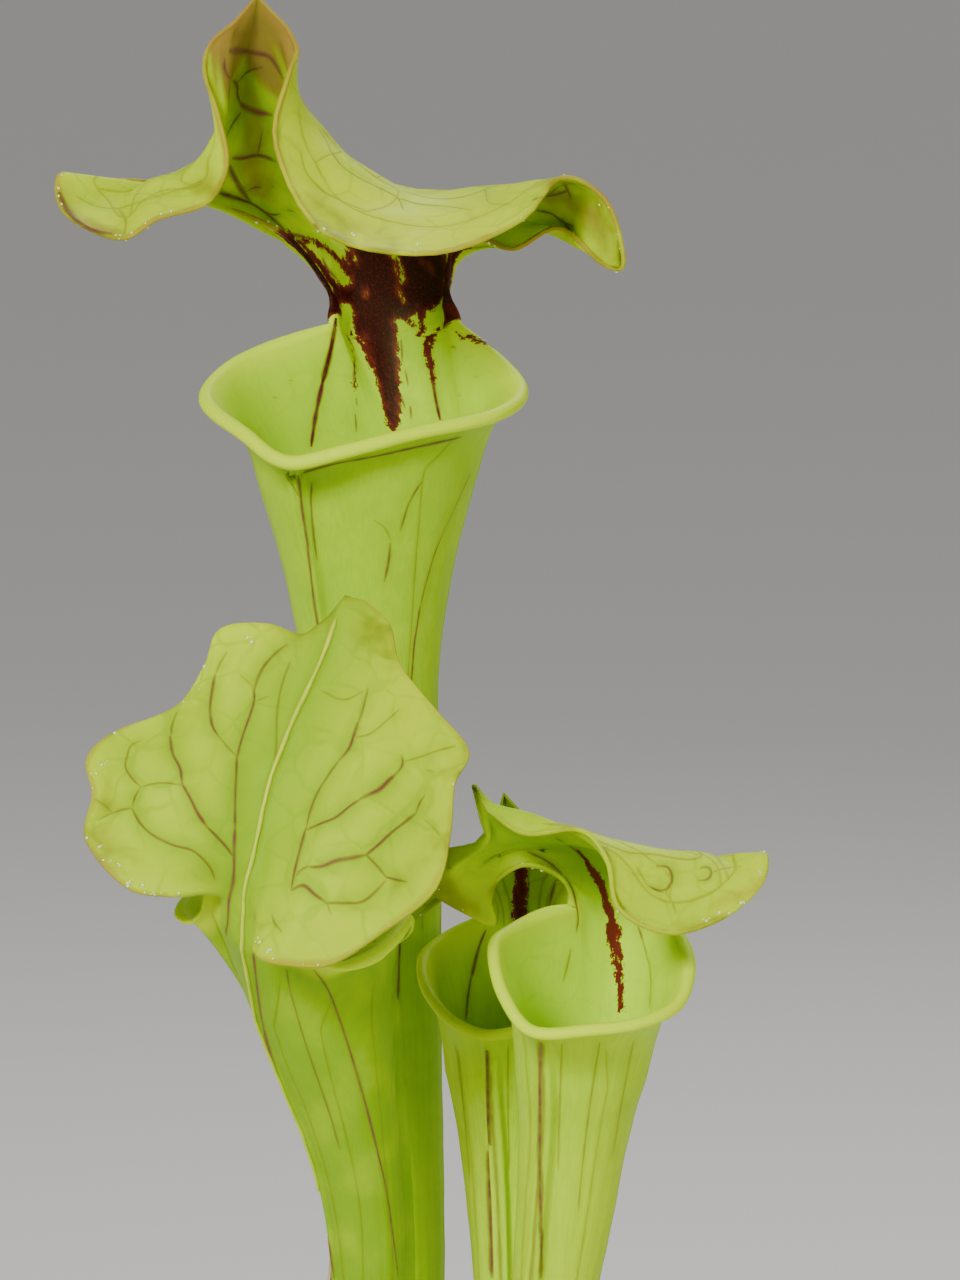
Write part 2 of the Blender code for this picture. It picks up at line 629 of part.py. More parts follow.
def pot_profile():
    """The pot's section: from its foot up the outside, over the rim and down the inside."""
    side_slope = (POT_TOP_RADIUS - POT_FOOT_RADIUS) / POT_HEIGHT
    rim_low = POT_HEIGHT - RIM_HEIGHT
    outside = POT_FOOT_RADIUS + side_slope * rim_low
    return [
        (POT_FOOT_RADIUS - RIM_ROUND, 0.0),
        (POT_FOOT_RADIUS, RIM_ROUND),
        (outside, rim_low),
        (outside + RIM_PROUD, rim_low + RIM_ROUND),
        (POT_TOP_RADIUS + RIM_PROUD, POT_HEIGHT - RIM_ROUND),
        (POT_TOP_RADIUS + RIM_PROUD - RIM_ROUND, POT_HEIGHT),
        (POT_TOP_RADIUS - POT_WALL, POT_HEIGHT - RIM_DROP),
        (POT_FOOT_RADIUS - POT_WALL, POT_FLOOR),
    ]


def turned(name, profile, finish, steps=ROUND_STEPS):
    """A solid turned about the upright axis, closed at both ends of its profile by a fan."""
    points = []
    for radius, height in profile:
        for k in range(steps):
            angle = 2 * math.pi * k / steps
            points.append((radius * math.cos(angle), radius * math.sin(angle), height))
    faces = []
    for r in range(len(profile) - 1):
        for k in range(steps):
            m = (k + 1) % steps
            faces.append((r * steps + k, r * steps + m, (r + 1) * steps + m, (r + 1) * steps + k))
    first, last = len(points), len(points) + 1
    points.append((0.0, 0.0, profile[0][1]))
    points.append((0.0, 0.0, profile[-1][1]))
    top = (len(profile) - 1) * steps
    for k in range(steps):
        m = (k + 1) % steps
        faces.append((first, m, k))
        faces.append((last, top + k, top + m))
    return add_object(name, points, faces, finish)


def smooth_with_creases(thing, angle):
    thing.data.shade_smooth()
    thing.data.set_sharp_from_angle(angle=math.radians(angle))


def cylinder(name, across, away, radius, low, high, finish, steps=24):
    """An upright round bar, used as a cutter."""
    made = turned(name, [(radius, low), (radius, high)], finish, steps)
    made.location = (across * MM, away * MM, 0.0)
    return made


def cut(thing, cutters):
    """Takes the cutters out of a solid; they stay in the file as hidden guides."""
    for cutter in cutters:
        cutter.hide_render = True
        cutter.display_type = "WIRE"
        bite = thing.modifiers.new(cutter.name, "BOOLEAN")
        bite.operation = "DIFFERENCE"
        bite.solver = "EXACT"
        bite.object = cutter


def make_pot(finish):
    """The pot, with a ring of drain holes through its floor."""
    pot = turned("pot", pot_profile(), finish)
    holes = []
    for k in range(DRAIN_COUNT):
        angle = DRAIN_START + 2 * math.pi * k / DRAIN_COUNT
        across, away = DRAIN_RING * math.cos(angle), DRAIN_RING * math.sin(angle)
        holes.append(cylinder(f"drain_{k}", across, away, DRAIN_RADIUS, -2.0, POT_FLOOR + 2.0, finish, 16))
    cut(pot, holes)
    smooth_with_creases(pot, 30)


def rhizome_points(grow):
    """The short creeping stem as a knobbly long egg; grow widens it for the bed that it lies in."""
    points = []
    for r in range(1, RHIZOME_ROWS):
        along = math.pi * r / RHIZOME_ROWS
        knob = 1.0 + 0.07 * math.cos(7.0 * along)
        for k in range(RHIZOME_STEPS):
            angle = 2 * math.pi * k / RHIZOME_STEPS
            lump = knob + 0.05 * math.sin(3.0 * angle + 2.0 * along)
            points.append((
                RHIZOME_CENTRE[0] - (RHIZOME_HALF[0] + grow) * math.cos(along),
                RHIZOME_CENTRE[1] + (RHIZOME_HALF[1] * lump + grow) * math.sin(along) * math.cos(angle),
                RHIZOME_CENTRE[2] + (RHIZOME_HALF[2] * lump + grow) * math.sin(along) * math.sin(angle),
            ))
    left_end = (RHIZOME_CENTRE[0] - RHIZOME_HALF[0] - grow, RHIZOME_CENTRE[1], RHIZOME_CENTRE[2])
    right_end = (RHIZOME_CENTRE[0] + RHIZOME_HALF[0] + grow, RHIZOME_CENTRE[1], RHIZOME_CENTRE[2])
    return points + [left_end, right_end]


def egg(name, points, finish):
    """Skins rings of RHIZOME_STEPS points that end in two poles."""
    faces = []
    rings = RHIZOME_ROWS - 1
    for r in range(rings - 1):
        for k in range(RHIZOME_STEPS):
            m = (k + 1) % RHIZOME_STEPS
            a, b = r * RHIZOME_STEPS, (r + 1) * RHIZOME_STEPS
            faces.append((a + k, a + m, b + m, b + k))
    left, right = len(points) - 2, len(points) - 1
    last = (rings - 1) * RHIZOME_STEPS
    for k in range(RHIZOME_STEPS):
        m = (k + 1) % RHIZOME_STEPS
        faces.append((left, m, k))
        faces.append((right, last + k, last + m))
    made = add_object(name, points, faces, finish)
    made.data.shade_smooth()
    return made


def soil_profile():
    """The medium's section: up the pot's inside wall, then over its low mound."""
    inner_slope = (POT_TOP_RADIUS - POT_FOOT_RADIUS) / (POT_HEIGHT - RIM_DROP - POT_FLOOR)
    foot = POT_FOOT_RADIUS - POT_WALL - 2 * GAP
    side = foot + inner_slope * (SOIL_TOP - POT_FLOOR)
    section = [(foot, POT_FLOOR + GAP), (side, SOIL_TOP)]
    for share in (0.85, 0.6, 0.3):
        section.append((side * share, SOIL_TOP + SOIL_MOUND * math.cos(share * math.pi / 2)))
    return section


def make_growing_medium(finish):
    """The medium, with a plain hole for the foot of each leaf and a bed for the rhizome."""
    medium = turned("growing_medium", soil_profile(), finish)
    cutters = []
    for name, plan in PITCHERS.items():
        across, up, away, radius, height = plan["tube"][0]
        hole = radius + BLADE / 2 + GAP
        cutters.append(cylinder(f"hole_{name}", across, away, hole, height - GAP, POT_HEIGHT + 5.0, finish))
    across, away = DRY_LEAF_FOOT
    hole = DRY_LEAF_WIDTH * 0.5 + GAP
    low, high = LEAF_FOOT - GAP, POT_HEIGHT + 5.0
    cutters.append(cylinder("hole_dry_leaf", across, away, hole, low, high, finish, 16))
    cutters.append(egg("bed_rhizome", rhizome_points(GAP), finish))
    cut(medium, cutters)
    smooth_with_creases(medium, 40)


def make_dry_leaf(finish):
    """A narrow withered leaf: a shallow channelled blade that twists a little and curls at its tip."""
    foot = np.array([*DRY_LEAF_FOOT, LEAF_FOOT])
    tip = seen(*DRY_LEAF_TIP)
    edge, heart = DRY_LEAF_THICK * 0.38, DRY_LEAF_THICK * 0.55
    points, faces = [], []
    for r in range(DRY_LEAF_ROWS + 1):
        u = r / DRY_LEAF_ROWS
        centre = foot + (tip - foot) * u + np.array(DRY_LEAF_BOW) * math.sin(math.pi * u)
        centre += np.array(DRY_LEAF_CURL) * ease(0.86, 1.0, u)
        width = DRY_LEAF_WIDTH * (0.8 + 0.35 * math.sin(math.pi * u)) * (1.0 - 0.45 * ease(0.9, 1.0, u))
        turn = DRY_LEAF_TURN[0] + DRY_LEAF_TURN[1] * u
        along = np.array([math.cos(turn), math.sin(turn), 0.0])
        back = np.array([-math.sin(turn), math.cos(turn), 0.0])
        trough = DRY_LEAF_TROUGH * width
        section = [(-0.5, -trough, -edge), (0.0, 0.0, -heart), (0.5, -trough, -edge)]
        section += [(0.5, -trough, edge), (0.0, 0.0, heart), (-0.5, -trough, edge)]
        for side, depth, skin in section:
            points.append(centre + along * side * width + back * (depth + skin))
    for r in range(DRY_LEAF_ROWS):
        for k in range(6):
            m = (k + 1) % 6
            a, b = r * 6, (r + 1) * 6
            faces += split_quad(points, a + k, a + m, b + m, b + k)
    top = DRY_LEAF_ROWS * 6
    for a, b, c in [(1, 0, 5), (1, 5, 4), (1, 4, 3), (1, 3, 2)]:
        faces.append((a, b, c))
        faces.append((top + a, top + c, top + b))
    made = add_object("dry_leaf", points, faces, finish)
    made.data.shade_smooth()


PITCHERS = {
    "pitcher_tall": TALL,
    "pitcher_left": LEFT,
    "pitcher_right": RIGHT,
    "pitcher_rear": REAR,
}


def main():
    clear_scene()
    make_pot(material("pot_plastic", (0.05, 0.06, 0.05), 0.55))
    make_growing_medium(material("growing_medium", (0.09, 0.05, 0.03), 0.95))
    egg("rhizome", rhizome_points(0.0), material("rhizome_skin", (0.22, 0.11, 0.06), 0.8))
    make_dry_leaf(material("dry_leaf", (0.52, 0.38, 0.2), 0.8))
    leaf_green = material("leaf_green", (0.40, 0.52, 0.06), 0.42)
    for name, plan in PITCHERS.items():
        pitcher_leaf(name, plan, leaf_green)


main()
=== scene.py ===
# %% [markdown]
# # A yellow pitcher plant in its pot
# A pitcher plant catches insects in leaves that are rolled into tubes. Each leaf grows as one sheet: it
# closes into a tube with a wing down its front, opens at a rolled lip, and runs on at the back as a neck that
# spreads into a waved lid. This script dresses the measured model of such a plant, cell by cell: the sheet of
# each leaf, its veins and stains, the drops of nectar, and then the pot and what grows in it.

import math
from functools import cached_property

import bmesh
import bpy
import numpy as np
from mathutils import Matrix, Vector, noise
from mathutils.bvhtree import BVHTree
from mathutils.kdtree import KDTree


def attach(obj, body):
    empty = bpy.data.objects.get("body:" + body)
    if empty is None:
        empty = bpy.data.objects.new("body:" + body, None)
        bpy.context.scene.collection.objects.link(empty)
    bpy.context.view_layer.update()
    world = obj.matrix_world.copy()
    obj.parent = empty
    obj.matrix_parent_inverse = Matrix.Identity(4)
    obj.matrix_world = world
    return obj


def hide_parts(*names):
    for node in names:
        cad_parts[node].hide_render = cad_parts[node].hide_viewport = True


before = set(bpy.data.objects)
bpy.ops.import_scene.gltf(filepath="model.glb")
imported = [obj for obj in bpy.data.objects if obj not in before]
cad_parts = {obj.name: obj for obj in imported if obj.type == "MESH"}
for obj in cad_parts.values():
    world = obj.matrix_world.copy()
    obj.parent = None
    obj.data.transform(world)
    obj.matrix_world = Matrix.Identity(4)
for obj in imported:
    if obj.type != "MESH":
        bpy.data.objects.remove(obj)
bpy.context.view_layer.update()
MM = 0.001
print("nodes:", sorted(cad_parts))

# %% [markdown]
# ## The eye
# The outlines of the leaves were read as the eye sees them: across and up on a picture plane that stands
# upright through the plant, with a depth for each point. The same eye becomes the camera, so what was read in
# front of the plant lands in its place again.

# %% The eye and its picture plane
EYE_PITCH = math.radians(8.0)
EYE_DISTANCE = 1100.0
PICTURE_BOTTOM = 290.0
PICTURE_CENTRE = (6.0, 128.0)
PICTURE_HEIGHT = 256.0
PIXELS_PER_MM = 5.0
PICTURE_PIXELS = (900.0, 1280.0)
SENSOR = 36.0


def eye_point():
    """Where the eye stands, in millimetres."""
    across, up = PICTURE_CENTRE
    back, rise = EYE_DISTANCE * math.cos(EYE_PITCH), EYE_DISTANCE * math.sin(EYE_PITCH)
    return np.array([across, -back, PICTURE_BOTTOM + up + rise])


def plane_point(across, up):
    """A point of the picture plane, in millimetres."""
    centre_up = PICTURE_CENTRE[1]
    rise = up - centre_up
    height = PICTURE_BOTTOM + centre_up + rise * math.cos(EYE_PITCH)
    return np.array([across, rise * math.sin(EYE_PITCH), height])


def seen(across, up, away):
    """The point at depth away that the eye sees at (across, up)."""
    eye = eye_point()
    ray = plane_point(across, up) - eye
    return eye + ray * ((away - eye[1]) / ray[1])


print("the eye stands at", eye_point().round(1), "mm")

# %% The camera
camera_data = bpy.data.cameras.new("plant camera")
camera_data.sensor_fit = "VERTICAL"
camera_data.sensor_height = SENSOR
camera_data.lens = SENSOR * EYE_DISTANCE / PICTURE_HEIGHT
camera_data.clip_start = 0.05
camera_data.clip_end = 200.0
camera = bpy.data.objects.new("plant camera", camera_data)
camera.location = Vector(eye_point()) * MM
aim = Vector(plane_point(*PICTURE_CENTRE)) * MM
camera.rotation_euler = (aim - camera.location).to_track_quat("-Z", "Y").to_euler()
bpy.context.scene.collection.objects.link(camera)
bpy.context.scene.camera = camera
print("camera at", [round(v, 3) for v in camera.location], "lens", round(camera_data.lens, 1))

# %% [markdown]
# ## Wiring a finish
# All finishes here are built from the same few shader nodes: noise, smooth steps, sums and colour mixes.
# Short names for them keep each finish readable as what it is: a pale tone, a darker one where the noise is
# high.

# %% Short names for shader nodes
class Wires:
    """The few shader nodes that the finishes are made of, in one node tree."""

    def __init__(self, tree):
        self.tree = tree

    @cached_property
    def place(self):
        """The place on the object itself, in metres."""
        return self.node("ShaderNodeTexCoord").outputs["Object"]

    def feed(self, socket, value):
        """Gives a socket a number, a colour or the output of another node."""
        if isinstance(value, bpy.types.NodeSocket):
            self.tree.links.new(value, socket)
        elif socket.type == "RGBA":
            socket.default_value = (*value, 1.0)
        else:
            socket.default_value = value

    def node(self, kind, inputs=None, **settings):
        made = self.tree.nodes.new(kind)
        for name, value in settings.items():
            setattr(made, name, value)
        for name, value in (inputs or {}).items():
            self.feed(made.inputs[name], value)
        return made

    def math(self, operation, a, b=0.0, clamp=False):
        return self.node("ShaderNodeMath", {0: a, 1: b}, operation=operation, use_clamp=clamp).outputs[0]

    def times(self, first, *others):
        for other in others:
            first = self.math("MULTIPLY", first, other)
        return first

    def plus(self, a, b, clamp=False):
        return self.math("ADD", a, b, clamp)

    def minus(self, a, b):
        return self.math("SUBTRACT", a, b)

    def shaken(self, value, by, size):
        """A value pushed up and down by a noise."""
        return self.plus(value, self.times(self.minus(by, 0.5), size))

    def ramp(self, value, low, high, to_low=0.0, to_high=1.0):
        """A smooth step from to_low to to_high while value goes from low to high."""
        made = self.node("ShaderNodeMapRange", {"Value": value, "From Min": low, "From Max": high,
                                                "To Min": to_low, "To Max": to_high},
                         interpolation_type="SMOOTHSTEP")
        return made.outputs["Result"]

    def mixed(self, share, a, b):
        """Colour a, turned to colour b by share."""
        return self.node("ShaderNodeMix", {0: share, 6: a, 7: b}, data_type="RGBA").outputs[2]

    def noise(self, vector, scale, detail=2.0, roughness=0.5):
        """A cloudy noise; without a vector it spans the object's own box."""
        made = self.node("ShaderNodeTexNoise", {"Scale": scale, "Detail": detail, "Roughness": roughness})
        if vector is not None:
            self.feed(made.inputs["Vector"], vector)
        return made.outputs["Fac"]

    def stretched(self, vector, *scale):
        return self.node("ShaderNodeMapping", {"Vector": vector, "Scale": scale}).outputs[0]

    def attribute(self, name, output="Vector"):
        """What the points of the mesh hold under a name."""
        return self.node("ShaderNodeAttribute", attribute_name=name).outputs[output]

    def split(self, vector):
        return self.node("ShaderNodeSeparateXYZ", {0: vector}).outputs

    def dress(self, shader, colour, roughness, height, strength, distance):
        """Feeds a Principled shader; distance is the height of the bumps in metres."""
        bump = self.node("ShaderNodeBump", {"Height": height, "Strength": strength, "Distance": distance})
        given = {"Base Color": colour, "Roughness": roughness, "Normal": bump.outputs["Normal"]}
        for name, value in given.items():
            self.feed(shader.inputs[name], value)


def new_material(name):
    """A material, the wires of its node tree, and its Principled shader."""
    made = bpy.data.materials.new(name)
    made.use_nodes = True
    return made, Wires(made.node_tree), made.node_tree.nodes["Principled BSDF"]

# %% [markdown]
# ## Floor and light
# The plant stands on a wide pale floor. One large soft lamp stands high in front at the left, as a studio's
# main light, a weaker one fills the shade from the right, and one behind gives the thin lids some light to
# pass on.

# %% The floor
FLOOR_HALF = 40.0


def make_floor():
    made, wires, shader = new_material("pale floor")
    tone = wires.node("ShaderNodeValToRGB", {0: wires.noise(None, 3.0, 3.0)})
    tone.color_ramp.elements[0].color = (0.76, 0.76, 0.75, 1.0)
    tone.color_ramp.elements[1].color = (0.80, 0.80, 0.79, 1.0)
    wires.feed(shader.inputs["Base Color"], tone.outputs["Color"])
    wires.feed(shader.inputs["Roughness"], 0.8)
    mesh = bpy.data.meshes.new("floor")
    half = FLOOR_HALF
    corners = [(-half, -half, 0), (half, -half, 0), (half, half, 0), (-half, half, 0)]
    mesh.from_pydata(corners, [], [(0, 1, 2, 3)])
    mesh.materials.append(made)
    floor = bpy.data.objects.new("floor", mesh)
    bpy.context.scene.collection.objects.link(floor)


make_floor()
print("floor", 2 * FLOOR_HALF, "m wide")

# %% The lamps
WORLD_GREY = (0.84, 0.83, 0.80)
WORLD_STRENGTH = 0.42
# name, place (m), what it aims at (m), size (m), power (W), colour
LAMPS = [
    ("main lamp", (-0.75, -1.60, 1.45), (0.0, 0.0, 0.38), 0.6, 51.0, (1.0, 0.99, 0.95)),
    ("fill lamp", (1.3, -1.4, 0.7), (0.0, 0.0, 0.34), 1.2, 11.0, (0.98, 1.0, 0.98)),
    ("back lamp", (0.4, 1.2, 1.5), (0.0, 0.0, 0.42), 0.7, 11.0, (1.0, 0.98, 0.94)),
]


def make_lamps():
    for name, place, target, size, power, colour in LAMPS:
        lamp = bpy.data.lights.new(name, "AREA")
        lamp.shape = "DISK"
        lamp.size = size
        lamp.energy = power
        lamp.color = colour
        stand = bpy.data.objects.new(name, lamp)
        stand.location = place
        stand.rotation_euler = (Vector(target) - Vector(place)).to_track_quat("-Z", "Y").to_euler()
        bpy.context.scene.collection.objects.link(stand)
    world = bpy.data.worlds.new("studio")
    world.use_nodes = True
    sky = world.node_tree.nodes["Background"]
    sky.inputs["Color"].default_value = (*WORLD_GREY, 1.0)
    sky.inputs["Strength"].default_value = WORLD_STRENGTH
    bpy.context.scene.world = world


make_lamps()
print(len(LAMPS), "lamps and a grey sky")

# %% [markdown]
# ## The shape of a leaf
# A leaf's sheet is a grid. Rings of points go round the tube, the last ring is the lip, and from the back of
# that ring rows of points run up the neck and over the lid. The tube is given by stations, each with a centre
# and a radius, and the neck and lid by lines that run lengthwise from the shoulders to the tip. Smooth curves
# pass through all of these, as they would through the battens of a boat. Blender's own curves could draw them
# too, but arrays keep the row and column of every point, and the veins and colours need those.

# %% Curves through points
def smooth(points, places, wanted):
    """Samples the smooth curve that passes through points at places."""
    points, places = np.asarray(points, float), np.asarray(places, float)
    wanted = np.clip(wanted, places[0], places[-1])
    shape = (-1,) + (1,) * (points.ndim - 1)
    steps = np.diff(places)
    slopes = np.diff(points, axis=0) / steps.reshape(shape)
    share = (steps[:-1] / (steps[:-1] + steps[1:])).reshape(shape)
    tangents = np.concatenate([slopes[:1], slopes[:-1] * (1.0 - share) + slopes[1:] * share, slopes[-1:]])
    at = np.clip(np.searchsorted(places, wanted, side="right") - 1, 0, len(steps) - 1)
    step = steps[at].reshape(shape)
    u = ((wanted - places[at]) / steps[at]).reshape(shape)
    bend = tangents[at] * step * (u**3 - 2 * u**2 + u) + tangents[at + 1] * step * (u**3 - u**2)
    return points[at] * (2 * u**3 - 3 * u**2 + 1) + points[at + 1] * (3 * u**2 - 2 * u**3) + bend


def lengths(points):
    """The distance run along a polyline up to each of its points."""
    return np.concatenate([[0.0], np.cumsum(np.linalg.norm(np.diff(points, axis=0), axis=1))])


def at_places(line, run, places):
    """The points of a polyline at distances along it."""
    return np.stack([np.interp(places, run, line[:, k]) for k in range(3)], axis=1)


def ease(low, high, value):
    """A smooth step from 0 to 1 while value goes from low to high."""
    u = np.clip((value - low) / (high - low), 0.0, 1.0)
    return u * u * (3.0 - 2.0 * u)


def unit(v):
    return v / np.maximum(np.linalg.norm(v, axis=-1, keepdims=True), 1e-12)


print("half way up a smooth step:", ease(0.0, 1.0, 0.5))

# %% [markdown]
# ### Columns
# The keel and the front seam are narrow, so the columns crowd beside them and spread evenly further out. That
# gives the ridges smooth sides without filling the whole leaf with points.

# %% Columns round a ring and across a row
BACK_STEPS = 64
FRONT_STEPS = 84
COLUMNS = BACK_STEPS + FRONT_STEPS
MIDDLE = BACK_STEPS // 2
SHOULDER = math.radians(30.0)
# distances of the first columns (mm), and the share of the way that each may take on a narrow row
NEAR_KEEL = (0.32, 0.65, 1.0, 1.35)
NEAR_SEAM = (0.3, 0.6, 0.9, 1.2, 1.5, 1.8, 2.15)
NEAR_SHARE = 0.03


def offsets(total, near, steps):
    """Distances from a centre line: a few close to it, then even ones up to total."""
    close = [min(d, total * NEAR_SHARE * (i + 1)) for i, d in enumerate(near)]
    return np.concatenate([close, np.linspace(close[-1], total, steps - len(near) + 1)[1:]])


def two_sided(before, after):
    return np.concatenate([-before[::-1], [0.0], after])


def spaced(curve, middle, near, steps):
    """Columns along a dense curve, closer together beside its middle point: places and distances from it."""
    run = lengths(curve)
    side = two_sided(offsets(run[middle], near, steps // 2), offsets(run[-1] - run[middle], near, steps // 2))
    return at_places(curve, run, side + run[middle]), side


def ring_sides(radius):
    """Signed distances round a ring: back columns from the keel, front ones from the seam."""
    half_back = offsets(SHOULDER * radius, NEAR_KEEL, MIDDLE)
    half_front = offsets((math.pi - SHOULDER) * radius, NEAR_SEAM, FRONT_STEPS // 2)
    return two_sided(half_back, half_back), two_sided(half_front, half_front)[1:-1]


def ring_turns(radius):
    back, front = ring_sides(radius)
    return np.concatenate([back / radius, front / radius + math.pi])


print(COLUMNS, "columns,", BACK_STEPS, "of them at the back")

# %% [markdown]
# ### Neck, lid and lip
# Every row of neck and lid crosses all of the lengthwise lines. The lip closes the sheet in front: it starts
# at one shoulder, dips to the spout above the seam and ends at the other shoulder.

# %% Rows of neck and lid, and the ring of the lip
HOOD_ROWS = 84
ROW_POINTS = 400
LIP_POINTS = 700


def dense_curve(points, through, count):
    """A smooth curve through points, and where on it the point number through lies."""
    run = lengths(points)
    places = np.unique(np.concatenate([np.linspace(0.0, run[-1], count), [run[through]]]))
    return smooth(points, run, places), int(np.argmin(np.abs(places - run[through])))


def hood_rows(lines, midrib):
    """The rows of the neck and lid, from the shoulders to just short of the tip."""
    wanted = np.linspace(0.0, 1.0, HOOD_ROWS + 1)
    lines = [[seen(*p) for p in np.reshape(line, (-1, 3))] for line in lines]
    sampled = [smooth(line, np.linspace(0.0, 1.0, len(line)), wanted) for line in lines]
    rows = np.stack(sampled, 1)
    made = [spaced(*dense_curve(row, midrib, ROW_POINTS), NEAR_KEEL, BACK_STEPS) for row in rows]
    return np.array([row for row, _ in made]), np.array([side for _, side in made])


def lip_ring(first_row, lip, spout):
    """The lip: the shoulder row at the back, then the front columns placed along the lip's own points."""
    points = np.array([first_row[-1]] + [seen(*p) for p in np.reshape(lip, (-1, 3))] + [first_row[0]])
    front, _ = spaced(*dense_curve(points, spout + 1, LIP_POINTS), NEAR_SEAM, FRONT_STEPS)
    return np.concatenate([first_row, front[1:-1]])


print(HOOD_ROWS, "rows from the shoulders to the tip")

# %% [markdown]
# ### Tube and flare
# The tube's rings lie level and are round. Just below the mouth a few rings take it over into the shape of
# the lip: the back goes straight up, while the front swings out late, like the bell of a trumpet.

# %% Rings of the tube and the flare
TUBE_ROWS = 84
FLARE_ROWS = 9


def tube_rings(plan):
    """The rings of the tube, their centres and their radii."""
    stations = plan["tube"]
    centres = np.array([seen(a, u, w) if u is not None else (a, w, z) for a, u, w, r, z in stations])
    radii = np.array([[s[3]] for s in stations])
    places = centres[:, 2]
    heights = np.linspace(places[0], places[-1], TUBE_ROWS + 1)
    centre, radius = smooth(centres, places, heights), smooth(radii, places, heights)[:, 0]
    rings = []
    for c, r in zip(centre, radius):
        turn = plan["heading"] + ring_turns(r)
        rings.append(c + r * np.stack([np.sin(turn), np.cos(turn), np.zeros(COLUMNS)], axis=1))
    return rings, centre, radius


def flare_rings(below, lip, swing):
    """The rings from the tube to the lip. swing says how early, how sharply and how far round it flares."""
    spread = np.arange(COLUMNS)
    into = np.minimum(spread - BACK_STEPS, COLUMNS - spread) / (FRONT_STEPS / 2.0)
    front = ease(0.0, swing[2], np.where(spread > BACK_STEPS, into, 0.0))[:, None]
    made = []
    for i in range(1, FLARE_ROWS + 1):
        u = i / (FLARE_ROWS + 1.0)
        flare = (swing[0] * u + (1.0 - swing[0]) * u ** swing[1]) * front + u * (1.0 - front)
        level = (0.25 * u**2 + 0.75 * u) * front + u * (1.0 - front)
        ring = below + (lip - below) * flare
        ring[:, 2:] = below[:, 2:] + (lip - below)[:, 2:] * level
        made.append(ring)
    return made


print(TUBE_ROWS + FLARE_ROWS + 2, "rings from the foot to the lip")

# %% [markdown]
# ### From sheet to triangles
# A quad of four points that don't lie in one plane bends somewhere. Cutting it along its shorter diagonal
# keeps the bend small. The average of the triangles round a point says which way is out there.

# %% Triangles and their normals
def split_quads(points, a, b, c, d):
    """Two triangles for each quad, cut along its shorter diagonal."""
    a, b, c, d = (np.ravel(v) for v in (a, b, c, d))
    first = np.linalg.norm(points[a] - points[c], axis=1) <= np.linalg.norm(points[b] - points[d], axis=1)
    one = np.where(first[:, None], np.stack([a, b, c], 1), np.stack([a, b, d], 1))
    two = np.where(first[:, None], np.stack([a, c, d], 1), np.stack([b, c, d], 1))
    return np.concatenate([one, two])


def point_normals(points, faces):
    corner = points[faces]
    across = np.cross(corner[:, 1] - corner[:, 0], corner[:, 2] - corner[:, 0])
    total = np.zeros_like(points)
    for k in range(3):
        np.add.at(total, faces[:, k], across)
    return unit(total)


def sheet_faces(points, rings, hood, tip):
    """The triangles between rings, between rows and round the tip."""
    low, high = rings[:-1], rings[1:]
    faces = [split_quads(points, low, high, np.roll(high, -1, 1), np.roll(low, -1, 1))]
    low, high = hood[:-1], hood[1:]
    faces.append(split_quads(points, low[:, :-1], high[:, :-1], high[:, 1:], low[:, 1:]))
    faces.append(np.stack([hood[-1][:-1], np.full(BACK_STEPS, tip), hood[-1][1:]], 1))
    return np.concatenate(faces)


print("a square becomes", len(split_quads(np.eye(4, 3), [0], [1], [2], [3])), "triangles")

# %% [markdown]
# ### What the colours need to know
# Each point keeps its place on the unrolled leaf, as if the sheet were cut open and pressed flat, how far it
# is from the free edge, and how far along the leaf it lies. Fibres, margins and stains follow these, not the
# room.

# %% The sheet of a leaf
FAR = 99.0
TIP_PAST = 2.0
TUBE_WAY, FLARE_WAY = 0.93, 0.935


def unrolled(rings, centre, radius, hood, sides):
    """Each point's place on the unrolled leaf, round and along, and how far along each ring's points lie."""
    run = lengths(centre)
    steps = np.linalg.norm(np.diff(rings[TUBE_ROWS:], axis=0), axis=2)
    along = np.concatenate([np.repeat(run[:, None], COLUMNS, 1), run[-1] + np.cumsum(steps, axis=0)])
    size = np.concatenate([radius, np.full(len(rings) - len(radius), radius[-1])])
    turns = np.array([ring_turns(r) for r in size])
    flat = np.stack([size[:, None] * np.sin(turns), size[:, None] * np.cos(turns), along], axis=2)
    hood_run = np.cumsum(np.linalg.norm(np.diff(hood[:, MIDDLE], axis=0), axis=1)) + along[-1, MIDDLE]
    hood_flat = np.stack(np.broadcast_arrays(sides[1:], size[-1], hood_run[:, None]), axis=2)
    tip = [[0.0, size[-1], hood_run[-1] + TIP_PAST]]
    return np.concatenate([flat.reshape(-1, 3), hood_flat.reshape(-1, 3), tip]), along


def edge_and_zone(along, sides):
    """Distance from the free edge, and the place along the leaf: 1 at the lip, 2 at the tip."""
    margin = np.minimum(sides - sides[:, :1], sides[:, -1:] - sides)
    reach = np.concatenate([margin[0], np.zeros(FRONT_STEPS - 1)])
    edge = np.concatenate([np.hypot(along[-1] - along, reach).ravel(), margin[1:].ravel(), [0.0]])
    run = along[: TUBE_ROWS + 1, 0]
    rings = np.concatenate([run / run[-1] * TUBE_WAY, np.linspace(FLARE_WAY, 1.0, len(along) - len(run))])
    rows = np.linspace(1.0, 2.0, HOOD_ROWS + 1)[1:]
    return edge, np.concatenate([np.repeat(rings, COLUMNS), np.repeat(rows, BACK_STEPS + 1), [2.0]])


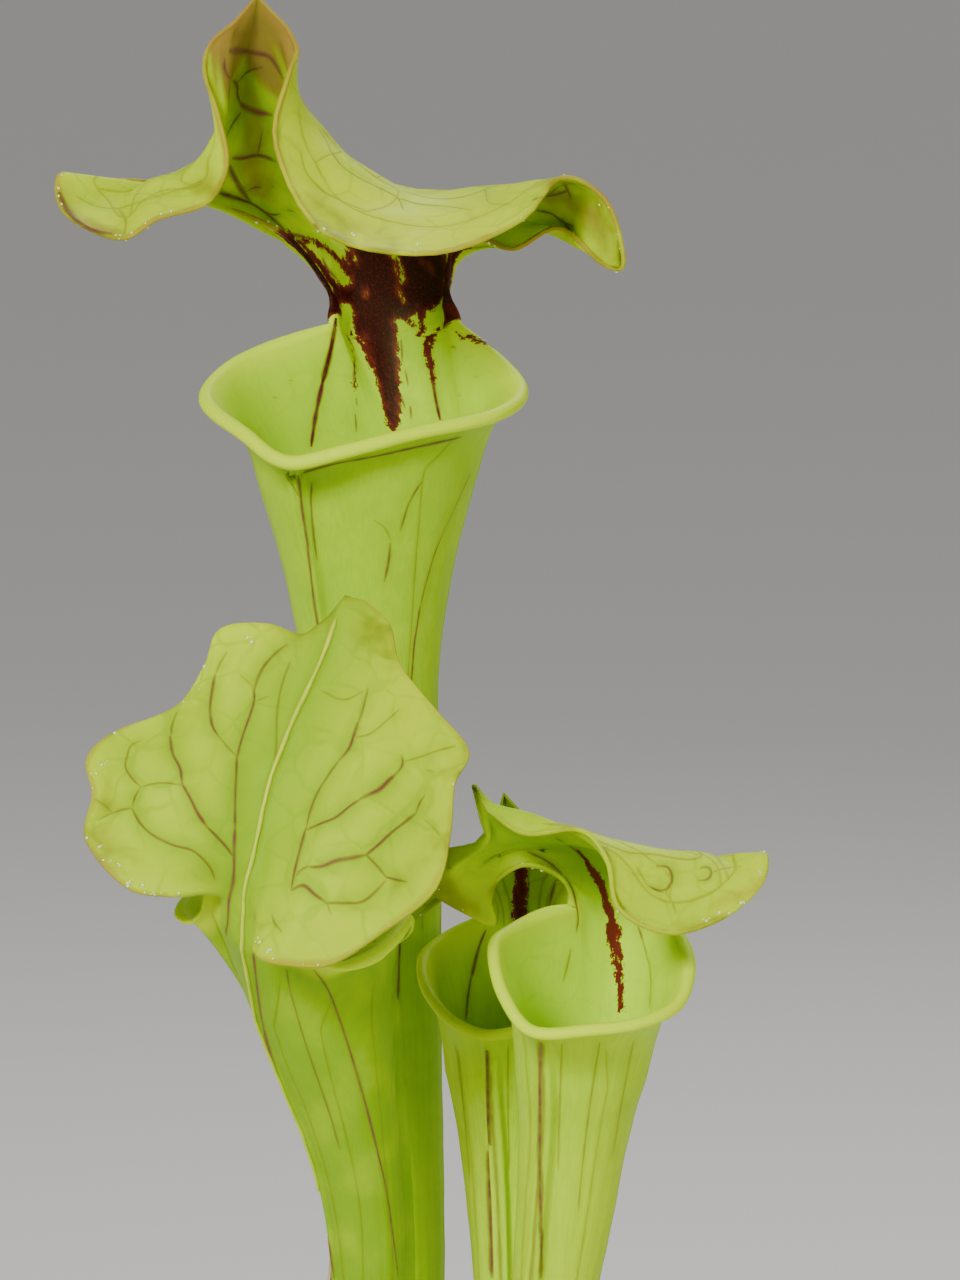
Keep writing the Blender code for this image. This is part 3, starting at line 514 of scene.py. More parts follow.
def leaf_sheet(plan):
    """The sheet's points, faces and grids, with what each point keeps."""
    hood, sides = hood_rows(plan["hood"], plan["midrib"])
    lip = lip_ring(hood[0], plan["lip"], plan["spout"])
    rings, centre, radius = tube_rings(plan)
    rings = np.array(rings + flare_rings(rings[-1], lip, plan["flare"]) + [lip])
    points = np.concatenate([rings.reshape(-1, 3), hood[1:].reshape(-1, 3), [seen(*plan["tip"])]])
    ring_at = np.arange(len(rings) * COLUMNS).reshape(len(rings), COLUMNS)
    hood_new = ring_at.size + np.arange(HOOD_ROWS * (BACK_STEPS + 1)).reshape(HOOD_ROWS, BACK_STEPS + 1)
    hood_at = np.concatenate([ring_at[-1:, : BACK_STEPS + 1], hood_new])
    tip = len(points) - 1
    flat, along = unrolled(rings, centre, radius, hood, sides)
    edge, zone = edge_and_zone(along, sides)
    return {
        "points": points, "faces": sheet_faces(points, ring_at, hood_at, tip),
        "rings": ring_at, "hood": hood_at,
        "tip": tip, "radius": radius, "sides": sides, "flat": flat, "edge": edge, "zone": zone,
    }


print("marks of the way along: lip 1, tip 2, end of the tube", TUBE_WAY)

# %% [markdown]
# ## The rolled edge
# The sheet's free edge is rolled outward: tightly at the lip, so that it makes the smooth bead that insects
# slip from, and only a little along the lid. A bevel would round the edge evenly, so the roll is built
# instead, as a strip that turns round a small circle, whose size and turn change along the edge.

# %% Rolling the edge
LIP_TURN = math.radians(205.0)
LIP_BACK_SHARE = 0.35
LIP_BACK_REACH = 0.2
EDGE_RADIUS = 2.2
EDGE_TURN = math.radians(22.0)
EDGE_ROWS = 7
EDGE_EVENING = 30


def free_edge(sheet):
    """The open edge, round the lip, up one margin and down the other, and its inner neighbours."""
    rings, hood = sheet["rings"], sheet["hood"]
    edge = [rings[-1][BACK_STEPS:], rings[-1][:1], hood[1:, 0], [sheet["tip"]], hood[:0:-1, -1]]
    inside = [rings[-2][BACK_STEPS:], rings[-2][:1], hood[1:, 1], hood[-2][[MIDDLE]], hood[:0:-1, -2]]
    return np.concatenate(edge), np.concatenate(inside)


def lip_share(plan):
    """How much of the lip's tight roll each point of the edge takes: 1 in front, fading towards the neck."""
    place = np.arange(FRONT_STEPS + 1) / FRONT_STEPS
    lip = ease(0.0, LIP_BACK_REACH, np.minimum(place, 1.0 - place))
    lip = LIP_BACK_SHARE + (1.0 - LIP_BACK_SHARE) * lip
    neck = LIP_BACK_SHARE * (1.0 - ease(0.0, plan["neck_end"], np.arange(1, HOOD_ROWS + 1) / HOOD_ROWS))
    return np.concatenate([lip, neck, [0.0], neck[::-1]])[:, None]


def roll_edge(sheet, plan):
    """Adds the rolled edge strip to the sheet."""
    points, faces = sheet["points"], sheet["faces"]
    edge, inside = free_edge(sheet)
    normal, rim = point_normals(points, faces)[edge], points[edge]
    along = unit(np.roll(rim, -1, axis=0) - np.roll(rim, 1, axis=0))
    outward = rim - points[inside]
    outward = unit(outward - along * np.sum(outward * along, axis=1, keepdims=True))
    for _ in range(EDGE_EVENING):
        outward = unit(outward * 2 + np.roll(outward, 1, axis=0) + np.roll(outward, -1, axis=0))
        normal = unit(normal * 2 + np.roll(normal, 1, axis=0) + np.roll(normal, -1, axis=0))
    share = lip_share(plan)
    bend = EDGE_RADIUS + (plan["bead"] - EDGE_RADIUS) * share
    turn = EDGE_TURN + (LIP_TURN - EDGE_TURN) * share
    strips, previous = [faces], edge
    for k in range(1, EDGE_ROWS + 1):
        angle = turn * k / EDGE_ROWS
        here = len(points) + np.arange(len(edge))
        rolled = rim + bend * (np.sin(angle) * outward + (1.0 - np.cos(angle)) * normal)
        points = np.concatenate([points, rolled])
        strips.append(split_quads(points, np.roll(previous, -1), previous, here, np.roll(here, -1)))
        past = (bend * turn * k / EDGE_ROWS)[:, 0]
        grown = {"flat": sheet["flat"][edge] + [0.0, 0.0, 1.0] * past[:, None], "edge": -past,
                 "zone": sheet["zone"][edge]}
        for key, values in grown.items():
            sheet[key] = np.concatenate([sheet[key], values])
        previous = here
    sheet["points"], sheet["faces"], sheet["free"] = points, np.concatenate(strips), previous


print("the lip rolls", round(math.degrees(LIP_TURN)), "degrees and the lid", round(math.degrees(EDGE_TURN)))

# %% [markdown]
# ## Wing, keel and relief
# A wing runs down the front of the tube, where the two margins of the leaf grew together, and a keel runs
# down its back and over the lid. Low ribs follow the tube, and the lid swells and dips softly between its
# veins. These are heights on the skin, so each is a sum of smooth steps and waves of the place on the
# unrolled leaf.

# %% Ridges and relief
WING_HEIGHT = 2.4
WING_HALF = 1.9
WING_CREST = 0.45
SEAM_DEPTH = 0.3
SEAM_HALF = 0.45
KEEL_HEIGHT = 0.55
KEEL_HALF = 1.3
KEEL_FULL_REACH = 20.0
FOOTING_ROWS = 25.2
RIB_COUNT = 22
RIB_HEIGHT = 0.045
RIB_SWAY_LENGTH = 31.0
SWELL_HEIGHT = 0.2
SWELL_WAVES = 7
SWELL_LENGTHS = (8.0, 21.0)
SWELL_ON_TUBE = 0.35


def ridges(sheet):
    """How far the outer skin stands out: a wing down the front seam, a keel down the back and the lid."""
    height = np.zeros(len(sheet["points"]))
    radius = sheet["radius"]
    for r, ring in enumerate(sheet["rings"]):
        back, front = ring_sides(radius[min(r, len(radius) - 1)])
        rising = 1.0 - ease(0.0, 1.0, (r - TUBE_ROWS) / (FLARE_ROWS + 1.0))
        seam = np.abs(front)
        wing = WING_HEIGHT * rising * (1.0 - ease(WING_HALF * WING_CREST, WING_HALF, seam))
        wing -= SEAM_DEPTH * rising * np.exp(-((seam / SEAM_HALF) ** 2))
        keel = KEEL_HEIGHT * (1.0 - ease(0.0, KEEL_HALF, np.abs(back)))
        height[ring] = ease(0.0, FOOTING_ROWS, float(r)) * np.concatenate([keel, wing])
    for row, side in zip(sheet["hood"][1:], sheet["sides"][1:]):
        fade = min(1.0, (abs(side[0]) + abs(side[-1])) / KEEL_FULL_REACH)
        height[row] = KEEL_HEIGHT * fade * (1.0 - ease(0.0, KEEL_HALF, np.abs(side)))
    return height


def relief(sheet, seed):
    """Low ribs along the tube and a slow swell and dip of the lid, in millimetres."""
    draw = np.random.default_rng(seed)
    flat, zone = sheet["flat"], sheet["zone"]
    turn = np.arctan2(flat[:, 0], flat[:, 1])
    ribs = RIB_HEIGHT * np.cos(RIB_COUNT * turn + 0.8 * np.sin(flat[:, 2] / RIB_SWAY_LENGTH))
    swell = np.zeros(len(flat))
    for _ in range(SWELL_WAVES):
        heading, length, phase = draw.uniform(0, math.pi), draw.uniform(*SWELL_LENGTHS), draw.uniform(0, 6.28)
        way = flat[:, 0] * math.cos(heading) + flat[:, 2] * math.sin(heading)
        swell += np.sin(way * 2 * math.pi / length + phase) / math.sqrt(SWELL_WAVES)
    on_lid = ease(1.04, 1.2, zone) * ease(-0.5, 4.0, sheet["edge"])
    on_tube = ease(0.05, 0.12, zone) * (1.0 - ease(0.9, 0.96, zone))
    return ribs * on_tube + SWELL_HEIGHT * swell * (on_lid + SWELL_ON_TUBE * on_tube)


print("the wing stands", WING_HEIGHT, "mm proud, the keel", KEEL_HEIGHT, "mm")

# %% [markdown]
# ## Two skins
# A real leaf has a thickness, and light only passes through it well in a render when its model has one. The
# sheet therefore gets an outer and an inner skin, joined along the rolled edge. The foot of the tube is solid
# up to where the hollow starts. A Solidify modifier could do this, but wing and keel stand on one skin alone.

# %% The blade of a leaf
BLADE = 0.9
FLOOR_ROW = 25
# how thin the last rows of the rolled edge are
RIM_THINNING = {EDGE_ROWS: 0.45, EDGE_ROWS - 1: 0.82}


def both_skins(sheet, normal):
    """The points of the outer and the inner skin."""
    points = sheet["points"]
    thin = np.ones((len(points), 1))
    ring = len(sheet["free"])
    for k, share in RIM_THINNING.items():
        first = len(points) - (EDGE_ROWS - k + 1) * ring
        thin[first : first + ring] = share
    return points + normal * (BLADE / 2 * thin + ridges(sheet)[:, None]), points - normal * BLADE / 2 * thin


def leaf_blade(plan, seed):
    """The closed blade: points, faces and what the colours need, for both skins."""
    sheet = leaf_sheet(plan)
    roll_edge(sheet, plan)
    faces = sheet["faces"]
    sheet["points"] = sheet["points"] + (point_normals(sheet["points"], faces) * relief(sheet, seed)[:, None])
    outer, inner = both_skins(sheet, point_normals(sheet["points"], faces))

    count = len(outer)
    base, floor = sheet["rings"][0], sheet["rings"][FLOOR_ROW]
    hollow = np.setdiff1d(np.arange(count), sheet["rings"][:FLOOR_ROW].ravel())
    where = np.full(count, -1)
    where[hollow] = count + np.arange(len(hollow))
    turned = where[faces[:, ::-1]]
    turned = turned[(turned >= 0).all(axis=1)]
    free, after = sheet["free"], np.roll(sheet["free"], -1)
    foot = count + len(hollow)
    solid = np.concatenate([
        faces,
        turned,
        np.stack([after, free, where[free]], 1),
        np.stack([after, where[free], where[after]], 1),
        np.stack([base, np.roll(base, -1), np.full(COLUMNS, foot)], 1),
        np.stack([where[np.roll(floor, -1)], where[floor], np.full(COLUMNS, foot + 1)], 1),
    ])

    def both(values, last):
        return np.concatenate([values, values[hollow], last])

    flat, zone, rings = sheet["flat"], sheet["zone"], sheet["rings"]
    made_of = np.concatenate([outer, inner[hollow], [outer[base].mean(axis=0), inner[floor].mean(axis=0)]])
    blade = {
        "points": made_of, "faces": solid, "where": where, "sheet": sheet,
        "flat": both(flat, [flat[base].mean(axis=0), flat[floor].mean(axis=0)]),
        "inner": np.concatenate([np.zeros(count), np.ones(len(hollow)), [0.0, 1.0]]),
        "edge": both(sheet["edge"], [FAR, FAR]),
        "zone": both(zone, [0.0, zone[floor[0]]]),
        "strips": {
            "back": np.concatenate([rings[:, : BACK_STEPS + 1], sheet["hood"][1:]]),
            "front": np.concatenate([rings[:, BACK_STEPS:], rings[:, :1]], axis=1),
        },
        "tree": BVHTree.FromPolygons([Vector(p) for p in made_of], solid.tolist()),
        "ribbons": [], "traces": [],
    }
    for key in ("stain", "tan", "vein", "tint"):
        blade[key] = np.zeros(len(made_of))
    return blade


print("blades are", BLADE, "mm thick and hollow from ring", FLOOR_ROW, "up")

# %% [markdown]
# ## Where a mark lies
# Most veins and stains were read off the leaves as the eye sees them. A line from the eye through such a
# point meets the leaf's skin, and there the mark belongs. Marks that the eye can't see are placed on the grid
# of the leaf instead, by row and column, and a vein that shows on one skin is repeated on the other.

# %% Finding places on a blade
VEIN_STEP = 0.55
JUMP = 3.0
SKIN_DEPTH = 0.12
THROUGH_LIMIT = 4.0
FEWEST = 4
CARRIED = ("flat", "inner", "edge", "zone", "stain", "tan")


def look_at(blade, pixel):
    """Where the line of sight through a pixel meets the blade: point, normal and face."""
    eye = eye_point()
    across = (pixel[0] - PICTURE_PIXELS[0] / 2) / PIXELS_PER_MM
    up = (PICTURE_PIXELS[1] - pixel[1]) / PIXELS_PER_MM
    return blade["tree"].ray_cast(Vector(eye), Vector(unit(plane_point(across, up) - eye)))[:3]


def sight_runs(blade, pixels):
    """The unbroken parts of a line of pixels on the blade, as points with their normals and faces."""
    pixels = np.reshape(pixels, (-1, 2)).astype(float)
    run = lengths(pixels)
    count = max(FEWEST, int(run[-1] / (VEIN_STEP * PIXELS_PER_MM)) + 1)
    runs, last = [[]], None
    for pixel in smooth(pixels, run, np.linspace(0.0, run[-1], count)):
        place, normal, face = look_at(blade, pixel)
        if place is None or (last is not None and (place - last).length > JUMP):
            runs.append([])
        if place is not None:
            runs[-1].append((place, normal, face))
            last = place
    return [run for run in runs if len(run) >= FEWEST]


def through(blade, run):
    """The same run on the blade's other skin."""
    cast = blade["tree"].ray_cast
    hits = [cast(place - normal * SKIN_DEPTH, -normal, THROUGH_LIMIT) for place, normal, _ in run]
    other = [hit[:3] for hit in hits if hit[0] is not None]
    return other if len(other) >= FEWEST else []


def grid_run(blade, strip, stops, inner):
    """A run along stops (row, column) of a strip, on the outer or the inner skin."""
    grid = blade["strips"][strip]
    stops = np.asarray(stops, float)
    reach = lengths(stops)
    fine = smooth(stops, reach, np.linspace(0.0, reach[-1], 60 * len(stops)))
    row = np.clip(fine[:, 0], 0, grid.shape[0] - 1.001)
    column = np.clip(fine[:, 1], 0, grid.shape[1] - 1.001)
    r, c = row.astype(int), column.astype(int)
    u, v = (row - r)[:, None], (column - c)[:, None]
    ids = [grid[r, c], grid[r + 1, c], grid[r, c + 1], grid[r + 1, c + 1]]
    if inner:
        ids = [blade["where"][i] for i in ids]
        keep = np.all([i >= 0 for i in ids], axis=0)
        ids, u, v = [i[keep] for i in ids], u[keep], v[keep]
    a, b, p, q = (blade["points"][i] for i in ids)
    line = (a * (1 - u) + b * u) * (1 - v) + (p * (1 - u) + q * u) * v
    if len(line) < FEWEST:
        return []
    run = lengths(line)
    line = at_places(line, run, np.linspace(0.0, run[-1], max(FEWEST, int(run[-1] / VEIN_STEP))))
    return [blade["tree"].find_nearest(Vector(p))[:3] for p in line]


def carried(blade, places, faces):
    """What the blade's points hold, at places on its faces."""
    corners = blade["faces"][faces]
    a, b, c = (blade["points"][corners[:, k]] for k in range(3))
    whole = np.linalg.norm(np.cross(b - a, c - a), axis=1)
    shares = [np.linalg.norm(np.cross(p - places, q - places), axis=1) for p, q in ((b, c), (c, a), (a, b))]
    shares = np.stack(shares, 1) / np.maximum(whole, 1e-9)[:, None]
    shares /= shares.sum(axis=1, keepdims=True)
    found = {}
    for key in CARRIED:
        values = blade[key][corners]
        found[key] = (values * (shares[:, :, None] if values.ndim == 3 else shares)).sum(axis=1)
    return found


print("veins are followed in steps of", VEIN_STEP, "mm")

# %% [markdown]
# ## Veins
# A vein stands a little out of the skin and its colour fades into the leaf at both sides. Painted veins would
# need a picture or far more points, and curves with a bevel would be round threads. Each vein is therefore a
# low ribbon that follows the skin: five points across, flush at its sides and raised in the middle, with the
# vein's strength kept in its points. Its width and strength waver along the way and taper at both ends.

# %% Ribbons for veins
# share of the half width, rise in millimetres, strength
VEIN_SECTION = (
    (-1.0, 0.012, 0.0), (-0.4, 0.05, 0.74), (0.0, 0.07, 1.0), (0.4, 0.05, 0.74), (1.0, 0.012, 0.0),
)
TAPER = 2.5
TAPER_START = 0.4
WIDTH_WAVER = 0.22
FORCE_WAVER = 0.2
# a colour number above this is a drip: its ribbon keeps its strength almost to its sides
DRIP_TINT = 1.2
DRIP_FIRMNESS = 2.6


def waver(count, draw, size):
    """Slow random change along a run, around 1."""
    knots = draw.uniform(1.0 - size, 1.0 + size, max(4, count // 5 + 3))
    return smooth(knots[:, None], np.arange(len(knots)), np.linspace(0, len(knots) - 1, count))[:, 0]


def add_ribbon(blade, run, width, strength, tint, draw, ends=(0.5, 0.8), lift=1.0):
    """Adds one vein to the blade's ribbons. ends says how far it tapers at its start and end."""
    if len(run) < FEWEST:
        return
    line = np.array([tuple(hit[0]) for hit in run])
    normal = unit(np.array([tuple(hit[1]) for hit in run]))
    for _ in range(2):
        normal[1:-1] = unit(normal[1:-1] * 2 + normal[:-2] + normal[2:])
        line[1:-1] = (line[1:-1] * 2 + line[:-2] + line[2:]) / 4
    side = unit(np.cross(normal, unit(np.gradient(line, axis=0))))
    way = lengths(line)
    start = 1.0 - ends[0] * (1.0 - ease(0.0, TAPER, way + TAPER_START))
    end = 1.0 - ends[1] * (1.0 - ease(0.0, TAPER, way[-1] - way + TAPER_START))
    half = 0.5 * width * waver(len(line), draw, WIDTH_WAVER) * (0.35 + 0.65 * start * end)
    force = np.clip(strength * waver(len(line), draw, FORCE_WAVER) * (0.25 + 0.75 * start * end), 0.0, 1.0)
    blade["traces"].append((line, force))
    firmness = DRIP_FIRMNESS if tint > DRIP_TINT else 1.0
    rows, strengths, faces = [], [], []
    for share, rise, vein in VEIN_SECTION:
        for i in range(len(line)):
            spot, up, face, _ = blade["tree"].find_nearest(Vector(line[i] + side[i] * share * half[i]))
            rows.append(tuple(spot + up * rise * lift))
            faces.append(face)
        strengths.append(np.minimum(vein * force * firmness, 1.0))
    found = carried(blade, np.array(rows), np.array(faces))
    found["points"], found["vein"] = np.array(rows), np.concatenate(strengths)
    found["tint"] = np.full(len(rows), float(tint))
    n = len(line)
    low = (np.arange(len(VEIN_SECTION) - 1)[:, None] * n + np.arange(n - 1)).ravel()
    quads = np.stack([low, low + 1, low + n + 1, low + n], 1)
    found["faces"] = np.concatenate([quads[:, [0, 1, 2]], quads[:, [0, 2, 3]]])
    blade["ribbons"].append(found)


print("a vein's ribbon is", len(VEIN_SECTION), "points wide")

# %% [markdown]
# ### Laying out veins
# The large veins were read one by one. Where a leaf's back or inside can't be seen, a net is grown over its
# grid: lengthwise veins first, as in the real lid, then slanting links between neighbours.

# %% Veins that were read, and veins on the grid
VEIN_WIDENING = 1.15
VEIN_STRENGTHENING = 1.55
BEHIND = 0.8
HALO_REACH = 2.2
HOOD_START = TUBE_ROWS + FLARE_ROWS + 1
OUTER, BOTH = (False,), (False, True)
LID_SHARES = (-0.9, -0.68, -0.45, -0.22, 0.22, 0.45, 0.68, 0.9)
# lengthwise veins of a net: stops, shares of the lid where they end, waver (columns), width (mm)
MAIN_STOPS, MAIN_ENDS, MAIN_WAVER, MAIN_WIDTH = 12, (0.78, 0.93), 1.3, 0.55
# links: shares of the lid for the first and the last, rows between two, lean (rows), width (mm), force
LINK_FIRST, LINK_LAST, LINK_GAPS, LINK_LEAN, LINK_WIDTH = (0.24, 0.34), 0.84, (5.0, 11.0), 5.0, 0.42
LINK_FORCES = (0.5, 0.85)
KEEL_CLEAR = 9
# veins of a tube: stops, rows where they end, width (mm), force
TUBE_STOPS, TUBE_ENDS, TUBE_WIDTHS, TUBE_FORCES = 9, (38.0, 62.0), (0.38, 0.6), (0.6, 1.1)


def sight_veins(blade, traces, draw):
    """Veins read as the eye sees them: width (pixels), strength, colour, line of pixels."""
    for pixels_wide, strength, tint, pixels in traces:
        width = VEIN_WIDENING * pixels_wide / PIXELS_PER_MM
        force = min(1.0, VEIN_STRENGTHENING * strength)
        for run in sight_runs(blade, pixels):
            add_ribbon(blade, run, width, force, tint, draw)
            add_ribbon(blade, through(blade, run), width, force * BEHIND, tint, draw)


def grid_veins(blade, strip, stops, width, strength, tint, draw, skins=OUTER, ends=(1.0, 1.0), lift=1.0):
    """One vein along grid stops, on the skins asked for."""
    for inner in skins:
        run = grid_run(blade, strip, stops, inner)
        add_ribbon(blade, run, width, strength * (BEHIND if inner else 1.0), tint, draw, ends, lift)


def lid_net(blade, draw, strength, skins):
    """A net of veins over neck and lid: lengthwise ones that waver, with slanting links between them."""
    mains = []
    for share in LID_SHARES:
        rows = np.linspace(HOOD_START + 1, HOOD_START + HOOD_ROWS * draw.uniform(*MAIN_ENDS), MAIN_STOPS)
        sway = draw.normal(0.0, MAIN_WAVER, MAIN_STOPS) * np.linspace(0.2, 1.0, MAIN_STOPS)
        columns = MIDDLE + share * MIDDLE * 0.97 + sway
        mains.append((rows, columns))
        force = strength * (1.0 if abs(share) < 0.8 else 0.7)
        grid_veins(blade, "back", list(zip(rows, columns)), MAIN_WIDTH, force, 0.25, draw, skins)
    for (rows, left), (_, right) in zip(mains, mains[1:]):
        if abs(left.mean() - MIDDLE) < KEEL_CLEAR and abs(right.mean() - MIDDLE) < KEEL_CLEAR:
            continue
        row = HOOD_START + HOOD_ROWS * draw.uniform(*LINK_FIRST)
        while row < HOOD_START + HOOD_ROWS * LINK_LAST:
            lean = draw.uniform(-LINK_LEAN, LINK_LEAN)
            start, end = np.interp(row, rows, left), np.interp(row + lean, rows, right)
            middle = (row + lean / 2 + draw.uniform(-1.5, 1.5), (start + end) / 2)
            stops = [(row, start), middle, (row + lean, end)]
            force = strength * draw.uniform(*LINK_FORCES)
            grid_veins(blade, "back", stops, LINK_WIDTH, force, 0.2, draw, skins, (0.0, 0.0))
            row += draw.uniform(*LINK_GAPS)


def tube_veins(blade, draw, strength, shares, strip="front"):
    """Fine lengthwise veins down the tube, faint above and lost towards the foot."""
    width = blade["strips"][strip].shape[1] - 1
    for share in shares:
        top = HOOD_START - 1 - draw.uniform(0.0, 5.0)
        rows = np.linspace(top, draw.uniform(*TUBE_ENDS), TUBE_STOPS)
        stops = list(zip(rows, share * width + draw.normal(0.0, 0.5, TUBE_STOPS)))
        thick, force = draw.uniform(*TUBE_WIDTHS), strength * draw.uniform(*TUBE_FORCES)
        grid_veins(blade, strip, stops, thick, force, 0.35, draw)


def add_halo(blade):
    """How near each point lies to a vein, for the deeper green that runs along veins."""
    lines = np.concatenate([line for line, _ in blade["traces"]])
    forces = np.concatenate([force for _, force in blade["traces"]])
    tree = KDTree(len(lines))
    for i, place in enumerate(lines):
        tree.insert(place, i)
    tree.balance()
    for part in [blade] + blade["ribbons"]:
        near = [tree.find(place)[1:] for place in part["points"]]
        at, gap = np.array([n[0] for n in near]), np.array([n[1] for n in near])
        part["halo"] = forces[at] * np.exp(-((gap / HALO_REACH) ** 2))


print("a net has", len(LID_SHARES), "lengthwise veins")

# %% [markdown]
# ## Stains
# The neck of the tallest leaf is stained a deep maroon inside, with streaks that run down into the mouth. A
# stain is kept as a smooth number in the blade's points, high in the middle of each streak and falling off
# around it. The material turns that number into a ragged edge, drawn out along the leaf.

# %% Stains on a blade
STAIN_SOFT = 1.7
TAN_SOFT = 3.0
SIDE_LIMIT = 1.7
EDGE_LIMIT = -0.5


def depth_inside(spots, path, widths):
    """How deep each spot lies inside a path of varying half width: positive inside."""
    best = np.full(len(spots), -FAR)
    for a, b, wa, wb in zip(path[:-1], path[1:], widths[:-1], widths[1:]):
        way = b - a
        u = np.clip(((spots - a) @ way) / max(float(way @ way), 1e-9), 0.0, 1.0)
        gap = np.linalg.norm(spots - (a + u[:, None] * way), axis=1)
        best = np.maximum(best, wa + (wb - wa) * u - gap)
    return best


def flat_path(blade, pixels, half_widths, inner):
    """A stroke's path on the unrolled leaf, where the eye sees that skin."""
    path, widths = [], []
    for pixel, half in zip(np.reshape(pixels, (-1, 2)), half_widths):
        place, _, face = look_at(blade, pixel)
        if place is None:
            continue
        found = carried(blade, np.array([tuple(place)]), np.array([face]))
        same_skin = (found["inner"][0] > 0.5) == inner
        spot = found["flat"][0]
        if same_skin and found["edge"][0] > EDGE_LIMIT and abs(math.atan2(spot[0], spot[1])) < SIDE_LIMIT:
            path.append(spot[[0, 2]])
            widths.append(half / PIXELS_PER_MM)
    return np.array(path), widths


def skin_spots(blade, inner, zones):
    """The points of one skin between two places along the leaf, and where they lie unrolled."""
    turn = np.abs(np.arctan2(blade["flat"][:, 0], blade["flat"][:, 1]))
    take = (blade["zone"] > zones[0]) & (blade["zone"] < zones[1]) & ((blade["inner"] > 0.5) == inner)
    at = np.nonzero(take & (turn < SIDE_LIMIT))[0]
    return at, blade["flat"][at][:, [0, 2]]


def paint(blade, key, strokes, soft, holes=(), inner=True, zones=(0.8, 2.0), strength=1.0):
    """Fills a stain or a tan from strokes given as (pixels, half widths in pixels)."""
    at, spots = skin_spots(blade, inner, zones)

    def covered(stroke):
        path, widths = flat_path(blade, *stroke, inner)
        depth = depth_inside(spots, path, widths)
        return np.clip(0.5 + depth / (2 * soft), 0.0, 1.0)

    value = np.max([covered(stroke) for stroke in strokes], axis=0)
    for hole in holes:
        value = np.minimum(value, 1.0 - covered(hole))
    blade[key][at] = np.maximum(blade[key][at], value * strength)


def paint_flat(blade, strokes, inner, zones):
    """A stain from strokes on the unrolled leaf: side and height above the shoulders, in millimetres."""
    at, spots = skin_spots(blade, inner, zones)
    spots = spots - [0.0, blade["flat"][blade["sheet"]["rings"][-1][MIDDLE], 2]]
    strokes = [(np.reshape(path, (-1, 2)).astype(float), widths) for path, widths in strokes]
    depth = np.max([depth_inside(spots, *stroke) for stroke in strokes], axis=0)
    blade["stain"][at] = np.maximum(blade["stain"][at], np.clip(0.5 + depth / (2 * STAIN_SOFT), 0.0, 1.0))


print("a stain's edge is", 2 * STAIN_SOFT, "mm wide, a tan's", 2 * TAN_SOFT, "mm")

# %% [markdown]
# ## The four leaves
# Lip and hood are given by lines of points, three numbers each: across, up and depth, in millimetres. The
# hood's lines run from the neck to the tip, from one margin over the middle to the other. A station of the
# tube is across, up, depth, radius and height; with a height, its up is None and it is placed by height
# alone.

# %% Outlines of the leaves
TALL = {
    "heading": math.radians(36), "spout": 5, "midrib": 3, "neck_end": 0.09, "bead": 1.1,
    "flare": (0.3, 2.4, 0.6),
    "tube": [(-8, None, 20, 5.6, 95), (-8, None, 20.5, 4.6, 118), (-8, None, 23, 4.9, 170),
             (-8, None, 29, 5.8, 240), (-7.8, 0, 32, 6.6, None), (-10.4, 56, 34, 8.6, None),
             (-12.6, 96, 34, 10.8, None), (-15.6, 122, 33, 13.4, None), (-16.4, 144, 32, 17.4, None),
             (-16.6, 164, 31.5, 23.1, None)],
    "lip": [8.5, 184, 46, 13.2, 178, 31, 8, 173.5, 15, -8, 170, 5, -22, 166.5, 1, -31.5, 164.5, 2,
            -40.5, 170, 12, -48, 176.8, 28, -43, 182.6, 43],
    "hood": [
        [-22.4, 190, 52, -23.2, 196, 55, -26.6, 202, 52, -33, 209, 47, -43, 213.6, 44, -58, 218.8, 37,
         -71, 219.8, 29, -77.75, 220.8, 23.5, -76.6, 213.4, 18, -66, 208.4, 10, -58.6, 212.4, 12,
         -48.8, 215.6, 16, -44.9, 223, 20, -46.4, 232.5, 23, -48.9, 241.4, 25, -47.6, 247, 26.5,
         -43, 251.2, 28],
        [-21.8, 189.4, 54, -21.8, 196.5, 58, -28, 208, 53, -46, 217.4, 43, -62, 218.6, 30, -51, 220.4, 22,
         -45.6, 231, 27, -43.6, 249, 29],
        [-20.5, 188.5, 57, -20, 196.5, 60, -24.5, 208.5, 57, -37, 216.4, 50, -47.2, 221.4, 38,
         -45.4, 228.4, 32, -44.4, 238.6, 32, -42, 249.4, 31],
        [-12.4, 187.5, 60, -12.8, 197, 62, -16, 208.5, 60, -22, 216, 57, -30, 223, 51, -37, 231.5, 45,
         -40.2, 241, 39, -39.6, 249.6, 34],
        [-4.6, 188.5, 57, -5, 196.5, 60, -6, 208.5, 57, -3, 216, 53, -3.6, 217.2, 45, -18, 220.6, 40,
         -29, 234.6, 33, -35, 250.2, 31],
        [-1.2, 189.6, 54, -2.2, 196.5, 58, 0, 208, 53, 14, 214.6, 44, 19, 219.6, 34, -6, 216.6, 28,
         -28, 231.4, 26, -33.4, 250.2, 29],
        [0, 190.4, 52, -0.9, 196, 55, -0.4, 202.4, 52, 1.6, 208, 47, 8, 207.6, 42, 13.2, 206.2, 36,
         22, 210.4, 33, 30.4, 203.4, 25, 34.6, 203.4, 20, 31.2, 215.6, 21, 22, 220.4, 19, 13.4, 211.6, 10,
         -4, 205.4, 3, -25, 209.6, 5, -34.6, 227, 14, -32.2, 240.6, 21, -30.6, 245.4, 25, -32.6, 250.2, 28],
    ],
    "tip": (-38.6, 256.5, 28),
}
